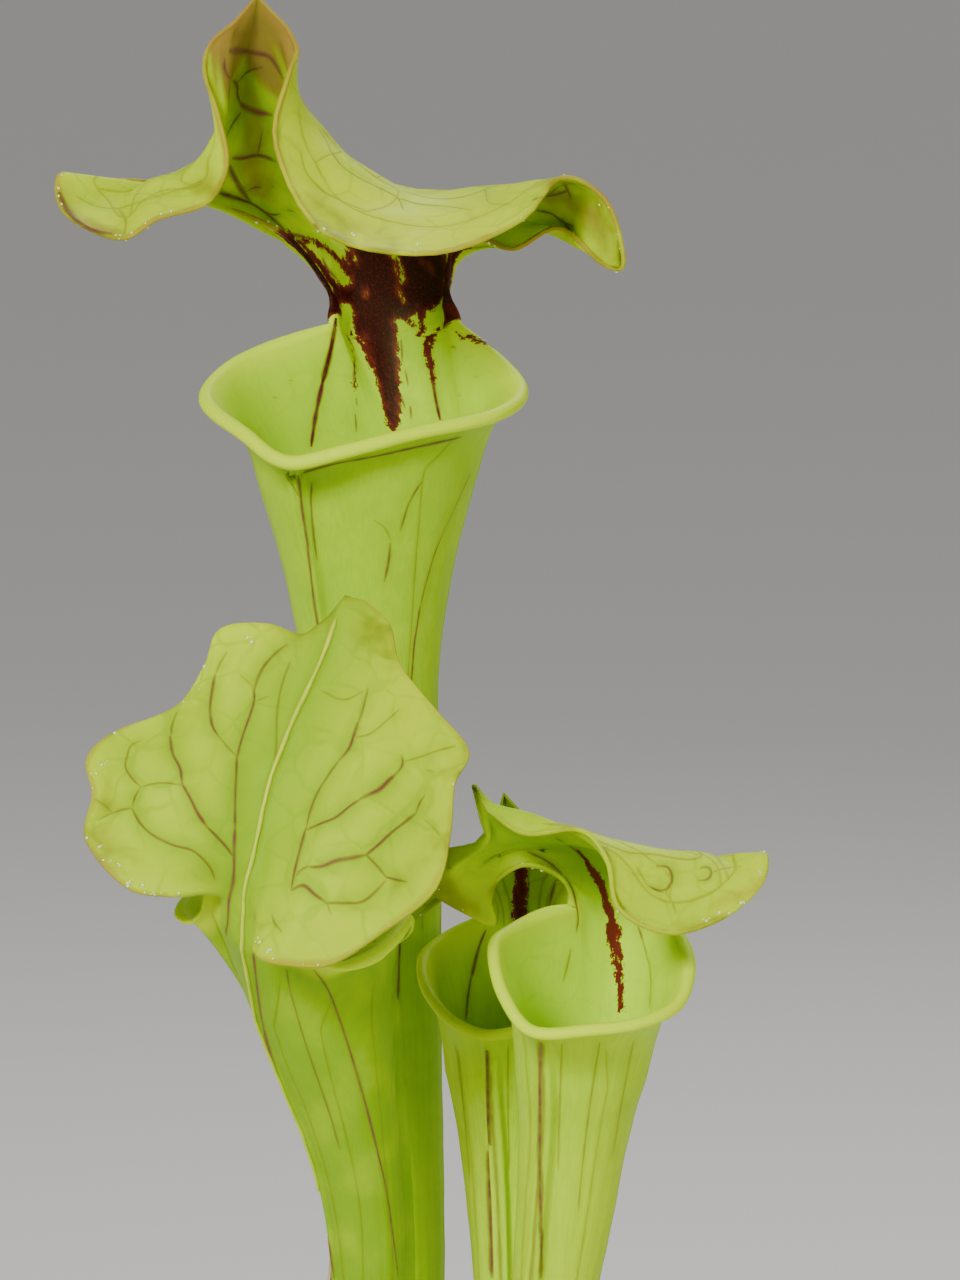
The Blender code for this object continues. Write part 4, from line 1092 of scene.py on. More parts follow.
LEFT = {
    "heading": math.radians(-114), "spout": 5, "midrib": 2, "neck_end": 0.16, "bead": 0.95,
    "flare": (0.1, 3.2, 0.35),
    "tube": [(-16, None, -13, 5.2, 95), (-16, None, -13, 4.4, 118), (-16, None, -14, 4.7, 170),
             (-16.2, None, -17, 5.8, 240), (-16.2, 0, -20, 6.8, None), (-17.4, 16, -22, 7.6, None),
             (-20.4, 32, -25, 9.4, None), (-23.4, 44, -28, 11.6, None), (-25.4, 53, -30, 13.2, None)],
    "lip": [-49.4, 71.4, -40, -52.2, 73, -36, -51.6, 76, -30, -45.5, 75.5, -21, -33, 69, -11.5, -18, 66, -13,
            -10.4, 69.5, -22, -9.6, 72.4, -33, -12, 69, -43, -17, 65, -49, -24, 62.8, -52],
    "hood": [
        [-31, 66, -51, -33.8, 70.4, -53, -37, 70.2, -57, -39, 67.4, -61, -37.4, 64.8, -64, -32, 63.6, -65.5,
         -24, 63.8, -65, -14, 70, -62, -3.6, 78.4, -56, -0.6, 89.6, -50.5, 0.2, 99.2, -46.5, 3, 105.8, -44,
         -3.6, 113.8, -38.5, -10.6, 122.6, -33, -12.6, 130.4, -29, -17, 135.2, -26],
        [-35.5, 65.8, -52, -38.4, 74, -55, -33, 76.4, -59, -22, 85, -58.5, -15.6, 100, -51, -16.4, 116, -40,
         -19, 134.4, -27.5],
        [-41, 67, -49.5, -40.2, 78, -51, -38.6, 88.4, -49.5, -35.6, 100.4, -46, -31.6, 111, -41,
         -26.6, 121.6, -34.5, -21.6, 134, -27.5],
        [-44.4, 70, -46.5, -43.8, 78.4, -48.5, -47.6, 85.6, -52, -55, 96, -51, -50, 108, -44,
         -37.6, 121.6, -35, -23.2, 133, -27],
        [-47.2, 73.6, -41, -46.8, 78.8, -44, -50, 77.6, -49, -56, 77.4, -52, -64.4, 79.2, -51,
         -72.2, 88.4, -47, -70.8, 97, -42.5, -72, 104, -39.5, -66.8, 109, -37, -54.4, 114.2, -36,
         -48.6, 122.4, -33, -45.6, 129.6, -30, -36.8, 130.6, -29, -29.4, 128.6, -27.5, -24.4, 132, -25.5],
    ],
    "tip": (-21, 136.4, -24),
}
RIGHT = {
    "heading": math.radians(30), "spout": 6, "midrib": 3, "neck_end": 0.16, "bead": 0.85,
    "flare": (0.15, 3.0, 0.6),
    "tube": [(15, None, -14, 5.4, 95), (15, None, -14, 4.6, 118), (15.6, None, -14.5, 5.2, 170),
             (18.4, None, -16.5, 6.8, 240), (21.2, 0, -18, 8.2, None), (22.8, 12, -20, 9.2, None),
             (24.2, 24, -22, 10, None), (25.4, 34, -24, 11.2, None), (26.2, 41, -26, 12.6, None)],
    "lip": [43, 69.6, -22, 45.8, 66, -29, 46.8, 61.6, -36, 44.8, 55.6, -44, 38, 52.2, -50, 28, 50.8, -52.5,
            16.2, 50.8, -51, 11.6, 57, -46, 9.8, 63, -40, 10, 67.6, -33, 14.2, 70, -26.5, 20.4, 72.4, -21.5],
    "hood": [
        [25.8, 73.8, -18.5, 25, 77.6, -19, 21.2, 81.2, -21, 14.8, 83, -24, 9.2, 80, -27, 8, 75, -28,
         8.8, 71.6, -28, 3.6, 73.8, -30, -3.4, 78, -29, -5.2, 82.4, -29, 0, 86, -31, 7.2, 87, -33,
         6.4, 93, -35],
        [27.4, 72.8, -16.5, 26.6, 78.2, -17.5, 14, 86, -24, 4, 80.6, -30, 1, 82.6, -33, 7.6, 87.6, -33.5,
         6.8, 93.4, -35.2],
        [29.2, 72, -15, 28.4, 78.4, -16, 22, 85.6, -20, 12, 86.4, -25, 9.4, 87, -29, 8.6, 89.6, -32.5,
         7.2, 94, -35.5],
        [32.8, 71, -13, 30.8, 78.4, -14, 27.6, 86, -18, 20.4, 87.6, -24, 14, 88.4, -29, 10.2, 91.2, -33,
         7.6, 94.6, -36],
        [36.4, 70.8, -14, 35.6, 78, -15, 35.6, 85, -19, 38, 84.8, -27, 28, 89.4, -32, 16, 92, -34.5,
         7.9, 95.2, -36.4],
        [38.8, 70.6, -15.5, 38.4, 77.4, -17, 44, 83.6, -22, 52, 84.8, -30, 39, 82.6, -38, 23, 90.4, -37.5,
         8.2, 95.2, -36.9],
        [40.4, 70.8, -17, 40, 76, -18, 42.4, 78.4, -20, 50, 80, -23, 58.4, 83.2, -28, 62.6, 85, -34,
         61.6, 79, -41, 54, 72.6, -45, 43.6, 69.8, -47, 34, 74.4, -46, 31.4, 83.8, -43, 26, 90, -41,
         15.2, 89.6, -39.5, 8, 94, -37.6],
    ],
    "tip": (5, 98.8, -37),
}
REAR = {
    "heading": math.radians(13), "spout": 5, "midrib": 2, "neck_end": 0.2, "bead": 0.8,
    "flare": (0.2, 2.8, 0.6),
    "tube": [(11, None, 14, 5.2, 95), (11, None, 14, 4.5, 118), (11.2, None, 12, 5, 170),
             (12, None, 8.5, 6.4, 240), (12.4, 0, 7, 7.4, None), (12, 20, 9, 9, None),
             (11.6, 34, 11, 10.6, None), (11.4, 42, 12, 12.2, None)],
    "lip": [25, 69.2, 23, 28.4, 65, 15, 28, 59, 7, 22, 52.6, -2, 14, 50.4, -6, 7.2, 49.6, -6, 1.6, 51.8, -3.5,
            -2.8, 56.4, 3, -4.8, 62, 12, -3.6, 65.4, 20, 1, 68.4, 25],
    "hood": [
        [6.8, 71.2, 27, 7.6, 76, 26, 5.2, 79.2, 23, 1, 78, 19, -4, 75, 15, -8, 72.4, 11, -6.8, 76.8, 6,
         -1, 81, 3, 4.4, 84.4, 2, 7.6, 87.6, 2.5, 9.6, 91.6, 3.5],
        [10.4, 70.4, 29, 10.6, 76, 29, 8.6, 82, 26.5, 2, 81.5, 18, 3, 84, 10, 7.6, 89.6, 6.5,
         10.4, 93.4, 4.8],
        [14, 69.6, 30, 13.6, 76, 30.5, 13, 82.4, 28, 12.6, 86, 23, 12.2, 88.4, 17, 11.8, 90.8, 11,
         11.4, 93.6, 6],
        [17.6, 70.2, 29, 17.2, 76, 29, 17.6, 82.6, 26.5, 24, 84, 19, 24, 86.6, 10, 18.5, 91, 6,
         12.6, 94, 4.6],
        [22.2, 70.8, 27, 22, 75.6, 26, 23.8, 79, 23, 28, 79.2, 19, 35, 79, 13, 39, 80.4, 8, 36, 82.8, 3,
         31.2, 85.2, 1, 26, 88.4, 0, 21.2, 90.8, 0, 14.6, 92.8, 2],
    ],
    "tip": (10.8, 97.2, 3),
}
PLANS = {"tall": TALL, "left": LEFT, "right": RIGHT, "rear": REAR}
print("stations of the tubes:", {key: len(plan["tube"]) for key, plan in PLANS.items()})

# %% [markdown]
# ## Their veins and stains
# Read off each leaf in pixels of the picture, two numbers for each point. A vein is its width, its strength
# from 0 to 1, its colour from 0 for olive brown to 1 for maroon, or 2 for a drip, and its line. A stain is a
# line and the half width at each of its points. The gaps are places that a stain leaves free.

# %% Veins and stains of the leaves
TALL_VEINS = [
    (5, 1.0, 0.9, [214, 192, 235, 198, 252, 204, 268, 215, 285, 231, 297, 246, 310, 264, 322, 284]),
    (6, 0.85, 0.5, [228, 157, 231, 171, 238, 184, 245, 195, 252, 203]),
    (4.6, 0.8, 0.2, [229, 158, 245, 158, 256, 155, 266, 157, 276, 162]),
    (3, 0.6, 0.35, [257, 155, 260, 143, 262, 132]),
    (7.5, 0.95, 0.75, [240, 103, 246, 108, 257, 112, 267, 114, 278, 116]),
    (3, 0.6, 0.4, [241, 113, 233, 123, 228, 133, 225, 143]),
    (5, 0.8, 0.15, [240, 103, 237, 94, 237, 84, 230, 79, 225, 72, 224, 58]),
    (3.6, 0.65, 0.1, [238, 82, 244, 75, 251, 70, 263, 67]),
    (7, 0.9, 0.1, [229, 51, 240, 51, 255, 53, 269, 56, 277, 66, 283, 79]),
    (3, 0.6, 0.5, [246, 192, 254, 187, 262, 188]),
    (3, 0.7, 0.8, [262, 210, 271, 215, 281, 214]),
    (2.5, 0.7, 0.9, [287, 210, 291, 211, 295, 212]),
    (3, 0.6, 0.5, [272, 186, 275, 187]),
    (4.5, 1.0, 1.0, [286, 234, 300, 236, 315, 241, 328, 250, 338, 262]),
    (7, 0.95, 0.95, [314, 224, 319, 229]),
    (3.5, 0.9, 0.95, [322, 258, 328, 270, 338, 280]),
    (6.0, 1.0, 2.0, [336, 318, 334, 332, 331, 348, 327, 365, 322, 384]),
    (5.2, 1.0, 1.5, [323, 380, 320, 394, 317, 408, 314, 425, 311, 447]),
    (3.5, 0.85, 1.0, [354, 360, 354, 372, 354, 388]),
    (3, 0.6, 1.0, [356, 398, 357, 405]),
    (2.5, 0.6, 1.0, [355, 414, 356, 423, 356, 432]),
    (5.2, 0.9, 1.5, [426, 345, 431, 368, 434, 388, 437, 405, 441, 423]),
    (2.5, 0.8, 1.0, [401, 340, 402, 352, 402, 362]),
    (2.5, 0.75, 1.0, [405, 370, 407, 378, 408, 386]),
    (3, 0.8, 1.0, [401, 396, 403, 402, 405, 408]),
    (3, 0.75, 1.0, [410, 406, 411, 412, 411, 419]),
    (4.5, 0.45, 0.9, [451, 346, 456, 348]),
    (2.5, 0.4, 0.3, [289, 380, 292, 381]),
    (2.5, 0.4, 0.3, [273, 397, 277, 398]),
    (2.5, 0.35, 0.3, [458, 395, 461, 396]),
    (2.5, 0.3, 0.3, [474, 376, 477, 377]),
    (2.5, 0.45, 0.4, [470, 474, 462, 492, 455, 507, 447, 524, 440, 540, 434, 555, 429, 572, 424, 590, 420,
        608]),
    (3.2, 0.8, 0.5, [420, 606, 417, 625, 414, 645, 412, 672, 408, 720, 404, 800, 401, 900, 398, 1000]),
    # partly brown and partly painted shade: a dark line under the lip's bead, in the crease where lip meets
    # tube
    (3.5, 0.75, 0.35, [303, 473, 318, 468, 334, 464, 360, 459, 386, 454, 412, 448, 440, 442, 462, 437]),
    (2.5, 0.5, 0.4, [422, 481, 413, 495, 408, 505, 404, 518, 400, 532]),
    (3, 0.55, 0.6, [390, 543, 389, 558, 387, 570, 384, 582]),
    (2, 0.25, 0.3, [374, 520, 385, 528, 391, 541]),
    (3, 0.4, 0.6, [281, 472, 291, 483, 299, 496]),
    (4, 0.85, 0.75, [298, 475, 300, 490, 302, 510, 305, 530, 308, 550, 311, 575, 314, 600, 319, 632, 324, 680,
        330, 760, 334, 860, 336, 960]),
    (3, 0.55, 0.5, [312, 482, 311, 500, 312, 520, 314, 540, 317, 560]),
    (2, 0.28, 0.3, [330, 150, 342, 166, 360, 178, 384, 190, 398, 198, 404, 210]),
    (2, 0.25, 0.3, [398, 198, 420, 204, 446, 206, 470, 210]),
    (2, 0.25, 0.3, [300, 150, 306, 172, 322, 190, 344, 202, 370, 212]),
    (2, 0.22, 0.3, [318, 128, 326, 140, 330, 150]),
    (3.5, 0.8, 0.4, [532, 200, 548, 196, 562, 193, 568, 190]),
    (3, 0.7, 0.4, [534, 210, 552, 214, 564, 223, 574, 226]),
    (5, 0.7, 0.5, [564, 183, 568, 192, 571, 200]),
    (5, 0.6, 0.5, [562, 218, 566, 226, 572, 230]),
    (2.5, 0.45, 0.5, [548, 196, 560, 186, 578, 184, 592, 190]),
    (9, 1.0, 0.0, [59, 192, 64, 205, 72, 216, 83, 225, 96, 231, 112, 234]),
    (2, 0.25, 0.3, [76, 196, 96, 206, 118, 208, 140, 202]),
    (2, 0.25, 0.3, [118, 208, 126, 220, 124, 234]),
    (2, 0.22, 0.3, [140, 202, 164, 194, 190, 186, 208, 178]),
]
TALL_STAINS = [
    ([289, 232, 307, 250, 319, 264, 327, 276, 336, 288, 343, 296], [2.6, 3.6, 4.6, 6, 8, 9]),
    ([338, 292, 338, 305, 337, 318], [7, 5.5, 3.5]),
    ([302, 238, 316, 243, 328, 251, 340, 262, 350, 274], [2.0, 2.6, 3.0, 3.6, 5]),
    ([356, 232, 362, 250, 370, 262, 376, 275, 374, 292], [22, 24, 27, 25, 27]),
    ([426, 244, 424, 256, 424, 266, 424, 278, 424, 292], [30, 29, 30, 28, 24]),
    ([340, 294, 362, 298, 390, 298, 418, 295, 434, 292], [9, 14, 16, 13, 12]),
    ([360, 308, 385, 310, 413, 308], [11, 13, 10]),
    ([373, 318, 382, 330], [22, 16]),
    ([358, 324, 361, 342], [7, 3]),
    ([372, 336, 371, 352, 371, 368], [7, 6, 2]),
    ([382, 330, 383, 345, 385, 360, 388, 378, 391, 400, 392, 424], [16, 15, 14, 12, 9, 7]),
    ([420, 306, 421, 316, 423, 332], [7, 5, 2.5]),
    ([423, 328, 427, 350, 431, 368, 434, 384], [3.4, 3.2, 2.4, 1.2]),
    ([444, 300, 445, 312, 447, 322, 447, 332], [4, 3.5, 2.6, 1]),
    ([403, 318, 409, 322, 414, 325], [3, 2.6, 1.4]),
    ([351, 332, 353, 346, 354, 360, 354, 388], [1.6, 1.4, 0.6, 0.2]),
]
TALL_GAPS = [
    ([386, 236, 388, 248, 393, 258], [6, 5.5, 2]),
    ([399, 267, 402, 278], [2.2, 2.0]),
    ([399, 294, 404, 301], [0.8, 0.8]),
    ([345, 306, 346, 317], [1.6, 3]),
    ([434, 307, 435, 316], [2, 3.4]),
    ([353, 254, 356, 261], [1.0, 1.0]),
    ([420, 250, 424, 262, 432, 272], [0.6, 0.8, 0.4]),
    ([440, 252, 438, 262], [0.6, 0.6]),
    ([364, 291, 366, 296], [0.6, 0.2]),
]
TALL_TAN = [
    ([250, 10, 240, 28, 232, 46, 228, 64, 230, 84], [8, 22, 26, 24, 14]),
    ([254, 40, 263, 58, 270, 76], [18, 18, 14]),
    ([268, 24, 282, 42, 290, 60], [8, 11, 9]),
    ([216, 40, 213, 54, 215, 70], [6, 6, 3]),
]
TALL_TAN_LOW = [([234, 84, 246, 104, 252, 128, 250, 160, 262, 196], [20, 26, 26, 22, 12])]
TALL_WING_TAN = [([60, 188, 65, 196, 75, 211, 90, 224, 108, 229], [0.5, 1.5, 3, 3, 0.5])]
TALL_LOBE_TAN = [([532, 206, 550, 200, 574, 202, 595, 220, 607, 248, 612, 262], [8, 11, 12, 11, 8, 4])]
RIGHT_TAN = [([722, 902, 742, 894, 756, 884], [3, 4, 3])]
LEFT_VEINS = [
    (2.6, 0.45, 0.4, [288, 644, 276, 653, 264, 666, 257, 680, 254, 692]),
    (3, 0.75, 0.6, [254, 688, 254, 702, 250, 715, 244, 732, 240, 745, 237, 758]),
    (5, 0.6, 0.7, [254, 698, 254, 704]),
    (2, 0.35, 0.3, [257, 701, 263, 698, 269, 696]),
    (2, 0.25, 0.3, [240, 675, 248, 682, 254, 688]),
    (3, 0.7, 0.65, [237, 755, 236, 775, 235, 800, 235, 830]),
    (3.6, 0.9, 0.8, [235, 826, 234, 848, 234, 865, 233, 882, 229, 900, 228, 920, 226, 936]),
    (2.2, 0.35, 0.3, [227, 652, 220, 663, 215, 676]),
    (3, 0.75, 0.55, [215, 674, 212, 692, 210, 710, 213, 728, 220, 739]),
    (2.2, 0.4, 0.4, [220, 738, 229, 749, 237, 757]),
    (2.2, 0.4, 0.4, [177, 712, 172, 725, 171, 738]),
    (3.4, 0.85, 0.65, [170, 736, 173, 755, 180, 768, 182, 784]),
    (6, 0.6, 0.75, [179, 785, 184, 785]),
    (4, 0.7, 0.8, [182, 784, 190, 798, 198, 814, 207, 827]),
    (3, 0.65, 0.6, [206, 826, 218, 838, 227, 848, 234, 858]),
    (2.2, 0.4, 0.35, [141, 741, 131, 745, 127, 757, 125, 766, 131, 777, 141, 787]),
    (2, 0.4, 0.35, [141, 787, 152, 784, 166, 783, 180, 785]),
    (2.4, 0.5, 0.4, [141, 787, 135, 797, 132, 808]),
    (2.6, 0.55, 0.45, [132, 808, 138, 820, 150, 833, 164, 841, 176, 846, 192, 850, 203, 859, 211, 869, 215,
        880]),
    (2, 0.35, 0.3, [132, 808, 121, 810, 110, 814, 98, 820]),
    (2, 0.22, 0.3, [95, 799, 103, 804, 112, 812]),
    (2.4, 0.4, 0.35, [368, 688, 362, 712, 358, 724]),
    (3, 0.7, 0.55, [358, 722, 354, 735, 350, 747, 338, 762]),
    (2.6, 0.5, 0.4, [338, 762, 328, 776, 318, 792, 310, 812, 306, 830]),
    (3, 0.75, 0.55, [306, 828, 300, 850, 295, 870, 291, 891]),
    (2, 0.25, 0.3, [354, 738, 370, 734, 385, 722, 400, 709]),
    (2.8, 0.6, 0.5, [306, 830, 320, 824, 335, 818, 350, 806, 362, 798]),
    (4.2, 0.95, 0.75, [360, 799, 370, 794, 379, 790, 388, 781, 397, 773]),
    (2.8, 0.55, 0.5, [396, 774, 403, 764, 401, 754]),
    (2, 0.28, 0.3, [403, 762, 420, 757, 440, 750, 456, 746]),
    (2.6, 0.5, 0.4, [296, 876, 303, 868, 313, 866]),
    (3.8, 0.9, 0.7, [310, 867, 320, 867, 335, 861, 352, 858, 366, 855]),
    (3.2, 0.65, 0.65, [366, 855, 378, 845, 392, 832, 405, 822, 416, 813]),
    (2.6, 0.45, 0.5, [416, 812, 420, 802, 425, 795]),
    (3, 0.6, 0.6, [366, 855, 377, 866, 386, 877]),
    (2.8, 0.6, 0.5, [386, 877, 397, 880, 407, 882]),
    (3.6, 0.8, 0.65, [292, 890, 303, 885, 314, 894, 327, 903]),
    (2.4, 0.45, 0.4, [326, 903, 345, 903, 362, 902, 374, 893, 386, 880]),
    (2, 0.3, 0.3, [327, 903, 331, 915]),
    (2.2, 0.4, 0.4, [272, 915, 275, 924, 282, 932]),
    (2.2, 0.3, 0.3, [290, 662, 282, 684, 277, 712, 276, 745, 274, 775]),
    (2, 0.2, 0.3, [320, 690, 345, 700, 365, 690]),
    (2, 0.2, 0.3, [426, 770, 434, 772]),
    (2, 0.2, 0.3, [424, 820, 432, 826, 440, 836]),
    (3, 0.6, 0.7, [309, 966, 319, 976, 327, 988, 338, 1015, 348, 1045, 358, 1078, 367, 1110, 377, 1150, 386,
        1190, 392, 1230, 398, 1276]),
    (2.2, 0.4, 0.5, [286, 966, 289, 985, 297, 1015, 306, 1045, 318, 1080, 330, 1115, 340, 1150]),
    (3.4, 0.7, 0.8, [253, 950, 257, 985, 262, 1020, 271, 1055, 283, 1090, 298, 1130, 312, 1170, 322, 1210,
        330, 1250, 334, 1278]),
]
RIGHT_VEINS = [
    (2.6, 0.5, 0.35, [556, 838, 568, 845, 580, 854, 588, 862]),
    (2.6, 0.6, 0.45, [527, 852, 545, 860, 557, 869, 566, 879]),
    (3, 0.8, 0.55, [565, 877, 572, 889, 576, 904, 578, 920, 576, 933]),
    (2.2, 0.35, 0.6, [571, 948, 568, 962, 563, 982]),
    (3, 0.75, 0.9, [637, 924, 641, 934, 643, 942]),
    (2.2, 0.4, 0.8, [643, 942, 646, 952, 648, 960]),
    (3, 0.6, 0.9, [647, 957, 650, 966]),
    (2.2, 0.4, 0.8, [650, 966, 651, 985, 650, 1000, 651, 1016]),
    (2.8, 0.5, 0.6, [656, 866, 668, 867, 672, 875, 671, 884, 664, 891, 656, 890, 646, 884]),
    (2.6, 0.45, 0.6, [701, 868, 708, 866, 712, 873, 707, 880, 697, 880]),
    (2, 0.22, 0.3, [636, 866, 643, 878, 648, 886]),
    (2, 0.2, 0.3, [712, 872, 726, 868, 742, 866]),
    (2, 0.2, 0.3, [664, 891, 672, 902, 676, 914]),
    (4.5, 0.5, 0.5, [448, 867, 451, 869]),
    (7, 0.8, 0.5, [541, 1042, 540, 1080, 540, 1120, 540, 1170, 541, 1220, 541, 1278]),
    (2, 0.3, 0.3, [600, 1042, 592, 1090, 584, 1150, 578, 1210]),
    (2, 0.25, 0.3, [634, 1040, 622, 1100, 612, 1160]),
    (2, 0.25, 0.3, [562, 1044, 560, 1100, 558, 1170]),
]
RIGHT_STAINS = [
    ([577, 850, 585, 859, 592, 870, 600, 883], [0.6, 1.8, 4.2, 6]),
    ([600, 883, 605, 897, 609, 911, 613, 928, 614, 940], [5.2, 5.6, 6, 5.6, 4.6]),
    ([614, 940, 618, 964, 620, 990, 620, 1008, 620, 1024], [4.6, 3.4, 2.8, 2.3, 1.8]),
]
REAR_VEINS = [
    (4.5, 0.9, 0.9, [556, 880, 552, 894, 549, 906]),
    (3.6, 0.85, 0.9, [486, 930, 480, 944, 475, 962, 471, 980]),
    (3, 0.6, 0.8, [471, 978, 468, 995, 466, 1020]),
    (7, 0.8, 0.5, [487, 1050, 488, 1110, 489, 1170, 491, 1230, 492, 1278]),
    (2, 0.25, 0.3, [458, 1050, 464, 1110, 470, 1180]),
    (2, 0.25, 0.3, [508, 1045, 508, 1100, 509, 1170]),
]
REAR_STAINS = [([520, 862, 521, 885, 521, 900, 518, 918], [6, 7, 7, 6])]
# side and height above the shoulders of each point, then the half widths, in millimetres
NECK_STAINS = [
    ([-15.5, 1, -16, 4.3, -19.7, 8.4, -21.7, 9.4, -25.4, 12.2, -29, 15], [1.2, 3.0, 3.4, 3.0, 2.2, 0.8]),
    ([17, 3.5, 18, 5.5, 20, 8, 24, 12, 27, 15], [1.2, 3.0, 3.4, 2.6, 1.0]),
]
HIDDEN_STAINS = {
    "left": [
        ([0, 14, 0, 4, 0, -12, -1, -28], [3.2, 3.6, 2.0, 0.7]),
        ([4, 10, 5, -2, 6, -16], [1.4, 1.2, 0.5]),
        ([-4, 10, -5, -2, -6, -14], [1.4, 1.2, 0.5]),
    ],
    "tall": NECK_STAINS,
    "rear": [([0, 8, 0, -4, 0, -22], [1.6, 1.5, 0.6])],
}
print("veins that were read:", len(TALL_VEINS) + len(LEFT_VEINS) + len(RIGHT_VEINS) + len(REAR_VEINS))

# %% [markdown]
# ## The skin of a living leaf
# A leaf is a thin, slightly waxy skin over wet green tissue that lets light through. Its green turns yellower
# towards lid and lip. Fine fibres run along the tube, a faint net of veins shows in the lid, and the margin
# dries to a thin tan line. All four leaves share this skin, so it is one node group, and each leaf's material
# places it with its own values. The group works from the numbers that the blade's points hold.

# %% The group's inputs
# Colours are linear RGB
GREEN_DEEP = (0.180, 0.360, 0.001)
GREEN_TUBE = (0.360, 0.600, 0.000)
GREEN_LID = (0.490, 0.640, 0.000)
GREEN_LIP = (0.560, 0.740, 0.002)
COLOUR, NUMBER = "NodeSocketColor", "NodeSocketFloat"


def group_with(name, inputs, outputs):
    """A shader node group with named inputs, each with a first value, and outputs."""
    made = bpy.data.node_groups.new(name, "ShaderNodeTree")
    for title, value in inputs.items():
        coloured = isinstance(value, tuple)
        socket = made.interface.new_socket(title, in_out="INPUT", socket_type=COLOUR if coloured else NUMBER)
        socket.default_value = (*value, 1.0) if coloured else value
    for title, kind in outputs.items():
        made.interface.new_socket(title, in_out="OUTPUT", socket_type=kind)
    return Wires(made), made.nodes.new("NodeGroupInput").outputs, made.nodes.new("NodeGroupOutput").inputs


skin, given, result = group_with(
    "leaf skin",
    {"Deep green": GREEN_DEEP, "Tube green": GREEN_TUBE, "Lid green": GREEN_LID, "Lip green": GREEN_LIP,
     "Net strength": 0.3, "Margin strength": 0.5, "Stain depth": 1.0, "Inside pale and painted light": 0.5},
    {"Colour": COLOUR, "Roughness": NUMBER, "Height": NUMBER},
)
flat = skin.attribute("leaf_flat")
edge, inner, way = skin.split(skin.attribute("leaf_zone"))
stain, tan, vein = skin.split(skin.attribute("leaf_mark"))
tint, halo = skin.attribute("leaf_tint", "Fac"), skin.attribute("leaf_halo", "Fac")
broad = skin.noise(skin.place, 24.0)
mottle = skin.noise(skin.place, 95.0, 3.0)
fine = skin.noise(skin.place, 520.0, 3.0)
fibre = skin.noise(skin.stretched(flat, 1.0, 1.0, 0.035), 1.35)
fibre_fine = skin.noise(skin.stretched(flat, 1.0, 1.0, 0.05), 3.6, 1.0)
print("leaf skin takes", [socket.name for socket in given if socket.name])

# %% [markdown]
# ### The greens
# One green lies over the other as thin glazes would: each mask says how much of the next colour shows. The
# inside of the tube is paler, partly its own colour and partly painted light. The green deepens along the
# veins, and painted shade darkens it towards the tube's foot, down the lid's middle and underneath the lid.

# %% Layers of green
# the paler green of the tube's inside, partly its own colour and partly painted light
INSIDE_PALE_AND_PAINTED_LIGHT = (0.600, 0.860, 0.000)
deep, bright = given["Deep green"], given["Lip green"]
on_lid = skin.ramp(way, 0.97, 1.22)
from_middle = skin.math("ABSOLUTE", skin.split(flat)[0])
colour = skin.mixed(on_lid, given["Tube green"], given["Lid green"])
for share, green in (
    # painted shade: deep green towards the foot of the tube, where the leaves shade one another
    (skin.times(skin.ramp(way, 0.62, 0.12), 0.8), deep),
    (skin.times(skin.ramp(broad, 0.36, 0.66), 0.28), deep),
    (skin.times(skin.ramp(mottle, 0.42, 0.68), 0.22), bright),
    (skin.times(skin.ramp(fibre, 0.42, 0.62), skin.ramp(way, 1.1, 0.9, 0.04, 0.13)), deep),
    # the inside's own paler green, partly painted light in the mouths
    (skin.times(inner, skin.ramp(way, 1.35, 1.05), given["Inside pale and painted light"]), INSIDE_PALE_AND_PAINTED_LIGHT),
    (skin.times(halo, skin.ramp(way, 0.9, 1.15, 0.25, 0.62)), deep),
    # painted shade: deep green down the lid's middle, in the fold beside the keel
    (skin.times(skin.ramp(from_middle, 19.0, 1.0), on_lid, 0.62), deep),
    # painted shade: deep green on the lid's underside, its inner skin
    (skin.times(inner, skin.ramp(way, 1.12, 1.5), 0.26), deep),
):
    colour = skin.mixed(share, colour, green)
print("greens laid over one another with", len(skin.tree.nodes), "nodes so far")

# %% [markdown]
# ### Net, margin and dry places
# The smallest veins make a net of cells, which a Voronoi texture's edges give once a noise has bent them. The
# lip's bead is brighter. The lid's margin, its apex and spots near the margin dry first, and the foot is red.

# %% The net, the bead and the tans
FOOT_RED = (0.160, 0.080, 0.030)
TAN_EDGE = (0.300, 0.180, 0.030)
TAN_BROWN = (0.230, 0.155, 0.026)
OLIVE = (0.150, 0.150, 0.004)
NET_BEND = (0.004, 0.004, 0.004)
bend = skin.node("ShaderNodeTexNoise", {"Vector": skin.place, "Scale": 160.0}).outputs["Color"]
bend = skin.node("ShaderNodeVectorMath", {0: bend, 1: NET_BEND}, operation="MULTIPLY").outputs[0]
bent = skin.node("ShaderNodeVectorMath", {0: skin.place, 1: bend}, operation="ADD").outputs[0]
cells = skin.node("ShaderNodeTexVoronoi", {"Vector": bent, "Scale": 120.0}, feature="DISTANCE_TO_EDGE")
net = skin.times(skin.ramp(cells.outputs["Distance"], 0.075, 0.015), skin.ramp(mottle, 0.36, 0.6, 0.25, 1.0),
                 skin.ramp(way, 0.9, 1.15, 0.25, 1.0), given["Net strength"])
rim = skin.times(skin.ramp(skin.shaken(edge, mottle, 3.2), 0.7, -0.8), skin.ramp(way, 1.06, 1.2),
                 skin.ramp(broad, 0.34, 0.6, 0.35, 1.0), given["Margin strength"])
blotch = skin.times(skin.ramp(skin.noise(skin.place, 58.0, 3.0, 0.6), 0.5, 0.68), skin.ramp(edge, 11.0, 1.5),
                    skin.ramp(way, 1.15, 1.35, 0.0, 0.65))
tanned = skin.ramp(skin.shaken(tan, mottle, 0.8), 0.05, 0.72, 0.0, 0.93)
tanned = skin.times(tanned, skin.ramp(tan, 0.02, 0.2))
